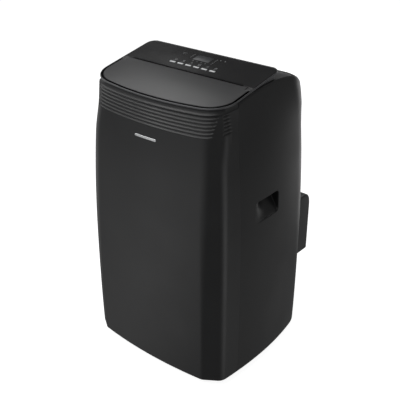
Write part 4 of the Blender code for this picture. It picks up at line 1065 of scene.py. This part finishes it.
def deck_prism(poly, w0, w1):
    bm = bmesh.new()
    lo = [bm.verts.new(deck_pt(x, y, w0)) for x, y in poly]
    hi = [bm.verts.new(deck_pt(x, y, w1)) for x, y in poly]
    n = len(poly)
    bm.faces.new(list(reversed(lo)))
    bm.faces.new(hi)
    for i in range(n):
        j = (i + 1) % n
        bm.faces.new((lo[i], lo[j], hi[j], hi[i]))
    bmesh.ops.recalc_face_normals(bm, faces=bm.faces)
    return bm


def round_rect(x0, x1, y0, y1, r, n=5):
    pts = []
    for cx, cy, a0 in ((x1 - r, y0 + r, -90), (x1 - r, y1 - r, 0), (x0 + r, y1 - r, 90), (x0 + r, y0 + r, 180)):
        for k in range(n + 1):
            a = math.radians(a0 + 90 * k / n)
            pts.append((cx + r * math.cos(a), cy + r * math.sin(a)))
    return pts


cutters = []
for k in range(6):
    kx = KEY_X0 + KEY_PITCH * k
    cutters.append(deck_prism(round_rect(kx - KEY_L / 2, kx + KEY_L / 2, KEY_Y - KEY_W / 2, KEY_Y + KEY_W / 2, 0.0012), -0.01, 0.01))
cutters.append(deck_prism(round_rect(DISP_X[0], DISP_X[1], DISP_Y[0], DISP_Y[1], 0.0020), -0.0014, 0.01))
deck = cut(deck, cutters)
put("control_deck", deck, "deck", nodes=["control_panel"], sharp=0.5)


def plate_on_deck(poly, w0, w1, r):
    """Small plate square to the deck, with a rounded upper edge."""
    P = [Vector(p) for p in poly]
    n = len(P)
    rings = []
    c = sum(P, Vector((0, 0))) / n
    for ins, w in [(0, w0), (0, w1 - r), (r * 0.3, w1 - r * 0.3), (r, w1)]:
        row = []
        for i in range(n):
            a, b, d = P[i - 1], P[i], P[(i + 1) % n]
            n1 = Vector(((b - a).y, -(b - a).x)).normalized()
            n2 = Vector(((d - b).y, -(d - b).x)).normalized()
            q = b - (n1 + n2).normalized() * ins
            row.append(deck_pt(q.x, q.y, w))
        rings.append(row)
    bm = bmesh.new()
    loft(bm, rings)
    bmesh.ops.recalc_face_normals(bm, faces=bm.faces)
    return bm


for k in range(6):
    kx = KEY_X0 + KEY_PITCH * k
    g = 0.0003
    bm = plate_on_deck(round_rect(kx - KEY_L / 2 + g, kx + KEY_L / 2 - g, KEY_Y - KEY_W / 2 + g, KEY_Y + KEY_W / 2 - g, 0.0010), -0.0078, 0.0009, 0.0004)
    put("key_bar_%d" % (k + 1), bm, "key", body="key_%d" % (k + 1), nodes=["key_%d" % (k + 1)], sharp=0.6)

bm = plate_on_deck(round_rect(DISP_X[0] + 0.0003, DISP_X[1] - 0.0003, DISP_Y[0] + 0.0003, DISP_Y[1] - 0.0003, 0.0018), -0.0012, 0.0004, 0.0003)
put("display_glass", bm, "window", nodes=["display_window"], sharp=0.6)


# printed symbols: plain rings, bars and dots
def symbol_bar(bm, x0, y0, x1, y1, t):
    a, b = Vector((x0, y0)), Vector((x1, y1))
    d = (b - a).normalized()
    n = Vector((-d.y, d.x)) * t / 2
    poly = [a + n, a - n, b - n, b + n]
    poly = [(p.x, p.y) for p in poly]
    if sum((poly[i][0] * poly[(i + 1) % 4][1] - poly[(i + 1) % 4][0] * poly[i][1]) for i in range(4)) < 0:
        poly.reverse()
    add(bm, deck_prism(poly, 0.00005, 0.00045))


def symbol_ring(bm, cx, cy, r, t, n=20, a0=0, a1=360):
    full = a1 - a0 >= 360
    steps = n if full else max(4, int(n * (a1 - a0) / 360))
    pts = [math.radians(a0 + (a1 - a0) * k / steps) for k in range(steps + (0 if full else 1))]
    o = [(cx + (r + t / 2) * math.cos(a), cy + (r + t / 2) * math.sin(a)) for a in pts]
    i = [(cx + (r - t / 2) * math.cos(a), cy + (r - t / 2) * math.sin(a)) for a in pts]
    m = len(pts)
    lo_o = [bm.verts.new(deck_pt(x, y, 0.00005)) for x, y in o]
    hi_o = [bm.verts.new(deck_pt(x, y, 0.00045)) for x, y in o]
    lo_i = [bm.verts.new(deck_pt(x, y, 0.00005)) for x, y in i]
    hi_i = [bm.verts.new(deck_pt(x, y, 0.00045)) for x, y in i]
    for k in range(m if full else m - 1):
        j = (k + 1) % m
        bm.faces.new((lo_o[k], lo_o[j], hi_o[j], hi_o[k]))
        bm.faces.new((lo_i[j], lo_i[k], hi_i[k], hi_i[j]))
        bm.faces.new((hi_o[k], hi_o[j], hi_i[j], hi_i[k]))
        bm.faces.new((lo_o[j], lo_o[k], lo_i[k], lo_i[j]))
    if not full:
        bm.faces.new((lo_o[0], hi_o[0], hi_i[0], lo_i[0]))
        bm.faces.new((hi_o[-1], lo_o[-1], lo_i[-1], hi_i[-1]))


sym = bmesh.new()
T = 0.0009
iy = -0.0125
for k in range(6):
    x = KEY_X0 + KEY_PITCH * k
    if k == 0:      # power
        symbol_ring(sym, x, iy, 0.0026, T, 24, 120, 420)
        symbol_bar(sym, x, iy + 0.0008, x, iy + 0.0034, T)
    elif k == 1:    # mode: four blades
        for a in (45, 135, 225, 315):
            symbol_ring(sym, x + 0.0017 * math.cos(math.radians(a)), iy + 0.0017 * math.sin(math.radians(a)), 0.0012, T, 12)
    elif k == 2:    # plus
        symbol_bar(sym, x - 0.0026, iy, x + 0.0026, iy, T)
        symbol_bar(sym, x, iy - 0.0026, x, iy + 0.0026, T)
    elif k == 3:    # minus
        symbol_bar(sym, x - 0.0026, iy, x + 0.0026, iy, T)
        symbol_ring(sym, x, iy, 0.0034, T * 0.8, 24)
    elif k == 4:    # speed: rising bars
        for q in range(4):
            symbol_bar(sym, x - 0.0024 + q * 0.0016, iy - 0.0024, x - 0.0024 + q * 0.0016, iy - 0.0012 + q * 0.0011, T)
    else:           # timer
        symbol_ring(sym, x, iy, 0.0028, T, 24)
        symbol_bar(sym, x, iy, x, iy + 0.0018, T)
        symbol_bar(sym, x, iy, x + 0.0014, iy, T)
    symbol_bar(sym, x - 0.0040, iy - 0.0062, x + 0.0040, iy - 0.0062, 0.0005)
# scale marks either side of the display and small state dots
for q in range(5):
    symbol_bar(sym, -0.0362, 0.0085 + q * 0.0042, -0.0342, 0.0085 + q * 0.0042, 0.0010)
    symbol_bar(sym, 0.0322, 0.0000 + q * 0.0060, 0.0342, 0.0000 + q * 0.0060, 0.0010)
symbol_bar(sym, -0.0354, 0.0080, -0.0354, 0.0255, 0.0005)
symbol_bar(sym, 0.0332, -0.0010, 0.0332, 0.0254, 0.0005)
for x in (0.0430, 0.0556):
    symbol_ring(sym, x, 0.0240, 0.0012, 0.0010, 14)
symbol_bar(sym, -0.0690, 0.0222, -0.0560, 0.0222, 0.0008)
symbol_bar(sym, -0.0660, 0.0170, -0.0560, 0.0170, 0.0005)
for q in range(4):
    symbol_ring(sym, -0.018 + q * 0.012, -0.0028, 0.0014, 0.0005, 12)
bmesh.ops.recalc_face_normals(sym, faces=sym.faces)
put("deck_symbols", sym, "dim", sharp=0.5, weld=0)

# segments behind the display glass, drawn as a faint lattice on its face
seg = bmesh.new()


def glass_bar(bm, x0, y0, x1, y1, t):
    a, b = Vector((x0, y0)), Vector((x1, y1))
    d = (b - a).normalized()
    n = Vector((-d.y, d.x)) * t / 2
    poly = [(p.x, p.y) for p in (a + n, a - n, b - n, b + n)]
    if sum((poly[i][0] * poly[(i + 1) % 4][1] - poly[(i + 1) % 4][0] * poly[i][1]) for i in range(4)) < 0:
        poly.reverse()
    add(bm, deck_prism(poly, 0.00035, 0.00050))


for dx in (-0.0065, 0.0045):
    x0, x1, y0, ym, y1 = dx, dx + 0.0070, 0.0085, 0.0148, 0.0211
    for a in ((x0, y0, x1, y0), (x0, ym, x1, ym), (x0, y1, x1, y1), (x0 - 0.0004, y0 + 0.0006, x0 - 0.0004, ym - 0.0006),
              (x0 - 0.0004, ym + 0.0006, x0 - 0.0004, y1 - 0.0006), (x1 + 0.0004, y0 + 0.0006, x1 + 0.0004, ym - 0.0006),
              (x1 + 0.0004, ym + 0.0006, x1 + 0.0004, y1 - 0.0006)):
        glass_bar(seg, *a, 0.0009)
put("display_segments", seg, "window", sharp=0.5, weld=0)

# ------------------------------------------------------------- rear shoulder
bm = bmesh.new()
rows = []
n_y, n_x = 24, 24
y0s, y1s = 0.0125, HALF_H + 0.0010


def inner_half_width(y):
    r = [station(i, rim_z(y), WALL + 0.0006) for i in range(K_SEAM, K_MID)]
    best = 0.10
    for a, b in zip(r, r[1:]):
        if a[0] > 0 and b[0] > 0 and (a[1] - y) * (b[1] - y) <= 0 and a[1] != b[1]:
            best = max(best, a[0] + (b[0] - a[0]) * (y - a[1]) / (b[1] - a[1]))
    return best


for k in range(n_y + 1):
    y = y0s + (y1s - y0s) * math.sin(math.pi / 2 * k / n_y)
    x = inner_half_width(y)
    row = []
    for i in range(n_x + 1):
        u = -1 + 2 * i / n_x
        z = rim_z(y) - 0.0004 + 0.0010 * (1 - u * u) - 0.0018 * ramp(abs(u), 0.92, 1.0)
        row.append(bm.verts.new((x * u, y, z)))
    rows.append(row)
for a, b in zip(rows, rows[1:]):
    for i in range(n_x):
        bm.faces.new((a[i], a[i + 1], b[i + 1], b[i]))
bmesh.ops.recalc_face_normals(bm, faces=bm.faces)
if rows[0][0].link_faces[0].normal.z < 0:
    bmesh.ops.reverse_faces(bm, faces=bm.faces[:])
# the shoulder takes the lightened plastic, a painted reflection
sh = put("top_shoulder", bm, "shoulder", nodes=["rear_shoulder"], sharp=0.8)
baked(solid(sh, 0.0030), 0.8)


# ------------------------------------------------------------- back of the unit
def grille(name, node, body, x0, x1, z0, z1, y, pitch):
    """Framed cover with rounded slats, split by two uprights where it is wide."""
    g = 0.0004
    plate = boxm(x0 + g, x1 - g, y - 0.0060, y - 0.0004, z0 + g, z1 - g, 0.0038, 4, only=1)
    n = int((z1 - z0 - 0.016) / pitch)
    zs = (z0 + z1) / 2 - n * pitch / 2
    c = bmesh.new()
    xs = [x0 + 0.008, x1 - 0.008]
    cols = 3 if x1 - x0 > 0.15 else 1
    span = (xs[1] - xs[0]) / cols
    for k in range(n):
        za = zs + k * pitch + 0.0018
        for q in range(cols):
            add(c, boxm(xs[0] + q * span + (0.0015 if q else 0), xs[0] + (q + 1) * span - (0.0015 if q < cols - 1 else 0), y - 0.02, y + 0.02, za, za + pitch - 0.0036, 0.0030, 4, only=1))
    plate = cut(plate, [c])
    ob = put(name, plate, "grille", body=body, nodes=[node], sharp=0.5)
    return baked(bevelled(ob, 0.0007, 2, 50), 0.6)


grille("rear_grille_upper", "intake_grille_upper", "intake_upper", *UP_GRILLE, BODY_D / 2 - taper(0.62) - 0.0002, 0.0125)
grille("rear_grille_lower", "intake_grille_lower", "intake_lower", *LO_GRILLE, BODY_D / 2 - 0.0010, 0.0125)

# exhaust adapter
CH_Z, CH_Y = 0.031, 0.021
yb0 = HR + 0.0006
prof = [(yb0, ADAPT_Z[0]), (ADAPT_Y, ADAPT_Z[0]), (ADAPT_Y, ADAPT_Z[1] - CH_Z), (ADAPT_Y - CH_Y * 0.14, ADAPT_Z[1] - CH_Z * 0.56), (ADAPT_Y - CH_Y * 0.45, ADAPT_Z[1] - CH_Z * 0.22), (ADAPT_Y - CH_Y, ADAPT_Z[1]), (yb0, ADAPT_Z[1])]
bm = bmesh.new()
loft(bm, [[(ADAPT_X[0], y, z) for y, z in prof], [(ADAPT_X[1], y, z) for y, z in prof]])
bmesh.ops.recalc_face_normals(bm, faces=bm.faces)
ed = [e for e in bm.edges if not (abs(e.verts[0].co.y - yb0) < 1e-5 and abs(e.verts[1].co.y - yb0) < 1e-5) and e.calc_face_angle(0) > 0.45]
bmesh.ops.bevel(bm, geom=ed, offset=0.0042, segments=4, profile=0.5, affect="EDGES")
ad_in = [(yb0 + 0.0030, ADAPT_Z[0] + 0.003), (ADAPT_Y - 0.0035, ADAPT_Z[0] + 0.003), (ADAPT_Y - 0.0035, ADAPT_Z[1] - CH_Z - 0.001), (ADAPT_Y - CH_Y - 0.001, ADAPT_Z[1] - 0.0045), (yb0 + 0.0030, ADAPT_Z[1] - 0.0045)]
hol = bmesh.new()
loft(hol, [[(ADAPT_X[0] + 0.003, y, z) for y, z in ad_in], [(ADAPT_X[1] - 0.003, y, z) for y, z in ad_in]])
bmesh.ops.recalc_face_normals(hol, faces=hol.faces)
bm = cut(bm, [hol])
bm = cut(bm, [disc([(HOSE_R, -0.013), (HOSE_R, 0.004)], (ADAPT_CX, yb0, ADAPT_CZ), n=64)], "UNION")
bm = cut(bm, [disc([(HOSE_R - 0.003, -0.03), (HOSE_R - 0.003, 0.03)], (ADAPT_CX, yb0, ADAPT_CZ), n=64),
              disc([(HOSE_R - 0.010, -0.03), (HOSE_R - 0.010, 0.03)], (ADAPT_CX, ADAPT_Y, ADAPT_CZ - 0.012), n=64)])
ad = put("hose_box", bm, "shell_side", body="hose_adapter", nodes=["exhaust_adapter"], sharp=0.5)

for name, node, body, x, z in (("plug_cap_upper", "drain_plug_upper", "plug_upper", -0.08, 0.365), ("plug_cap_lower", "drain_plug_lower", "plug_lower", 0.10, 0.052)):
    yy = BODY_D / 2 - taper(z)
    bm = disc([(0.0060, -0.012), (0.0060, 0.0004), (0.0106, 0.0004), (0.0110, 0.0009), (0.0110, 0.0028), (0.0104, 0.0036), (0.0090, 0.0042), (0.0062, 0.0045)], (x, yy, z), n=40)
    grips = bmesh.new()
    for k in range(16):
        a = 2 * math.pi * k / 16
        add(grips, disc([(0.0009, 0.0010), (0.0009, 0.0100)], (x + 0.0114 * math.cos(a), yy, z + 0.0114 * math.sin(a)), n=10))
    bm = cut(bm, [grips])
    put(name, bm, "rubber", body=body, nodes=[node], sharp=0.5)

yy = BODY_D / 2 - taper(0.115)
bm = turned([(0.0040, -0.008), (0.0070, -0.008), (0.0070, 0.0004), (0.0116, 0.0004), (0.0120, 0.0009), (0.0120, 0.0034), (0.0114, 0.0040), (0.0100, 0.0044), (0.0096, 0.0056), (0.0100, 0.0064), (0.0092, 0.0072), (0.0088, 0.0082), (0.0091, 0.0092), (0.0084, 0.0106), (0.0060, 0.0110), (0.0040, 0.0106)], (0.108, yy, 0.115), "Y", 40)
put("cable_gland", bm, "rubber", nodes=["cord_gland"], sharp=0.6)

# ------------------------------------------------------------ plate on the front
PLATE_X, PLATE_Z = (-0.0295, 0.0335), (0.6105, 0.6160)


def front_y(x, z):
    t = taper(z)
    ax_ = half(z)[K0][0]
    return -(BODY_D / 2 - t) + FRONT_BOW * (x / ax_) ** 2


bm = bmesh.new()
nx, rr = 30, (PLATE_Z[1] - PLATE_Z[0]) / 2
zc_ = sum(PLATE_Z) / 2
prof2 = []
cols = []
for k in range(nx + 1):
    a = math.pi * k / nx
    e = 1 - abs(1 - 2 * k / nx)
    x = lerp(PLATE_X[0], PLATE_X[1], 0.5 - 0.5 * math.cos(a))
    d = min(x - PLATE_X[0], PLATE_X[1] - x)
    hgt = rr if d >= rr else math.sqrt(max(0.0, rr * rr - (rr - d) ** 2))
    cols.append((x, max(hgt, 0.00025)))
rings = []
for x, hgt in cols:
    r_ = []
    for f, o in ((-1, -0.0003), (-1, 0.0006), (-0.8, 0.0010), (-0.4, 0.0012), (0.4, 0.0012), (0.8, 0.0010), (1, 0.0006), (1, -0.0003)):
        z = zc_ + f * hgt
        r_.append((x, front_y(x, z) - o - 0.0001, z))
    rings.append(r_)
loft(bm, rings)
bmesh.ops.recalc_face_normals(bm, faces=bm.faces)
put("front_plate", bm, "badge", nodes=["badge_plate"], sharp=0.7)

# -------------------------------------------------------- materials on CAD nodes
record_slots = {s["node"]: s.get("material_slot") for s in frame["record"].get("subparts", []) if isinstance(s, dict) and "node" in s}
SLOT_MAT = {"shell": "shell", "shell_side": "shell_side", "flap": "flap", "deck": "deck", "grille": "grille", "key": "key", "window": "window", "filter": "filter",
            "inner": "inner", "foam": "foam", "aluminium": "aluminium", "steel": "steel", "paint": "paint", "copper": "copper", "board": "board", "rubber": "rubber", "badge": "badge"}
for name, ob in frame["nodes"].items():
    s = record_slots.get(name)
    mat = M.get(SLOT_MAT.get(s, "grille"), M["grille"])
    if not ob.data.materials:
        ob.data.materials.append(mat)
    for k in range(len(ob.data.materials)):
        ob.data.materials[k] = mat

# ---------------------------------------------------------------- floor and light
bm = bmesh.new()
bmesh.ops.create_grid(bm, x_segments=1, y_segments=1, size=6.0)
me = bpy.data.meshes.new("studio_floor")
bm.to_mesh(me)
bm.free()
floor = bpy.data.objects.new("studio_floor", me)
bpy.context.scene.collection.objects.link(floor)
floor.location = (0, 0, -0.0005)
floor.visible_diffuse = floor.visible_glossy = floor.visible_shadow = False
fm, nt, p = new_mat("studio_floor")
p.inputs["Base Color"].default_value = (0.60, 0.60, 0.60, 1)
p.inputs["Roughness"].default_value = 0.9
p.inputs["Specular IOR Level"].default_value = 0.0
p.inputs["Emission Color"].default_value = (1, 1, 1, 1)
p.inputs["Emission Strength"].default_value = 0.92
me.materials.append(fm)


def area(name, loc, target, size, power, size_y=None, colour=(1, 1, 1)):
    l = bpy.data.lights.new(name, "AREA")
    l.shape = "RECTANGLE" if size_y else "SQUARE"
    l.size = size
    if size_y:
        l.size_y = size_y
    l.energy = power
    l.color = colour
    o = bpy.data.objects.new(name, l)
    bpy.context.scene.collection.objects.link(o)
    o.location = loc
    d = Vector(target) - Vector(loc)
    o.rotation_euler = d.to_track_quat("-Z", "Y").to_euler()
    return o


AIM = Vector((0, -0.05, 0.40))
# azimuth from the front towards the right, elevation, watts
PANELS = [(-65, -30, 0.3), (-45, -30, 1.2), (-45, -8, 0.3), (-25, -30, 2.0), (-25, -8, 1.0), (0, -8, 1.8), (80, -30, 1.0),
          (80, -5, 1.85), (95, -30, 3.0), (95, -5, 0.9), (145, -30, 0.6), (-45, 20, 0.9), (-60, 45, 3.3), (0, 45, 10.8),
          (180, 20, 6.6), (-108, 58, 12.0), (-90, -12, 1.6), (-145, -12, 4.5), (180, -12, 4.0)]
for k, (az, el, watts) in enumerate(PANELS):
    ca, ce = math.radians(az), math.radians(el)
    way = Vector((math.sin(ca) * math.cos(ce), -math.cos(ca) * math.cos(ce), math.sin(ce)))
    area("soft_panel_%d" % (k + 1), AIM + way * 2.4, AIM, 1.3, watts)
# two nearer panels over the front left corner give the top its falloff
area("near_panel_1", (-0.5, -0.9, 1.25), (-0.1, -0.25, 0.72), 0.4, 1.95)
area("near_panel_2", (-1.0, -0.3, 1.25), (-0.1, -0.25, 0.72), 0.5, 1.4)

world = bpy.data.worlds.new("studio")
bpy.context.scene.world = world
world.use_nodes = True
wn, wl = world.node_tree.nodes, world.node_tree.links
wn.clear()
out = wn.new("ShaderNodeOutputWorld")
b1, b2 = wn.new("ShaderNodeBackground"), wn.new("ShaderNodeBackground")
b1.inputs["Color"].default_value = (1, 1, 1, 1)
b1.inputs["Strength"].default_value = 0.156
b2.inputs["Color"].default_value = (1, 1, 1, 1)
b2.inputs["Strength"].default_value = 1.0
lp = wn.new("ShaderNodeLightPath")
mx = wn.new("ShaderNodeMixShader")
wl.new(lp.outputs["Is Camera Ray"], mx.inputs[0])
wl.new(b1.outputs[0], mx.inputs[1])
wl.new(b2.outputs[0], mx.inputs[2])
wl.new(mx.outputs[0], out.inputs[0])

# ------------------------------------------------------------------------ camera
PITCH, YAW = 0.47846, 0.69313
cam_d = bpy.data.cameras.new("camera")
cam_d.lens, cam_d.sensor_width, cam_d.sensor_fit = 66.04, 36.0, "HORIZONTAL"
cam_d.clip_start, cam_d.clip_end = 0.05, 50.0
cam = bpy.data.objects.new("camera", cam_d)
bpy.context.scene.collection.objects.link(cam)
fwd = Vector((-math.sin(YAW) * math.cos(PITCH), math.cos(YAW) * math.cos(PITCH), -math.sin(PITCH)))
right = Vector((math.cos(YAW), math.sin(YAW), 0))
up = right.cross(fwd)
cam.matrix_world = Matrix(((right.x, up.x, -fwd.x, 1.0469), (right.y, up.y, -fwd.y, -1.2596 + YS), (right.z, up.z, -fwd.z, 1.2321), (0, 0, 0, 1)))
bpy.context.scene.camera = cam

scene = bpy.context.scene
scene.view_settings.view_transform = "Standard"
scene.view_settings.look = "None"
scene.view_settings.exposure = 0.0
scene.view_settings.gamma = 1.0
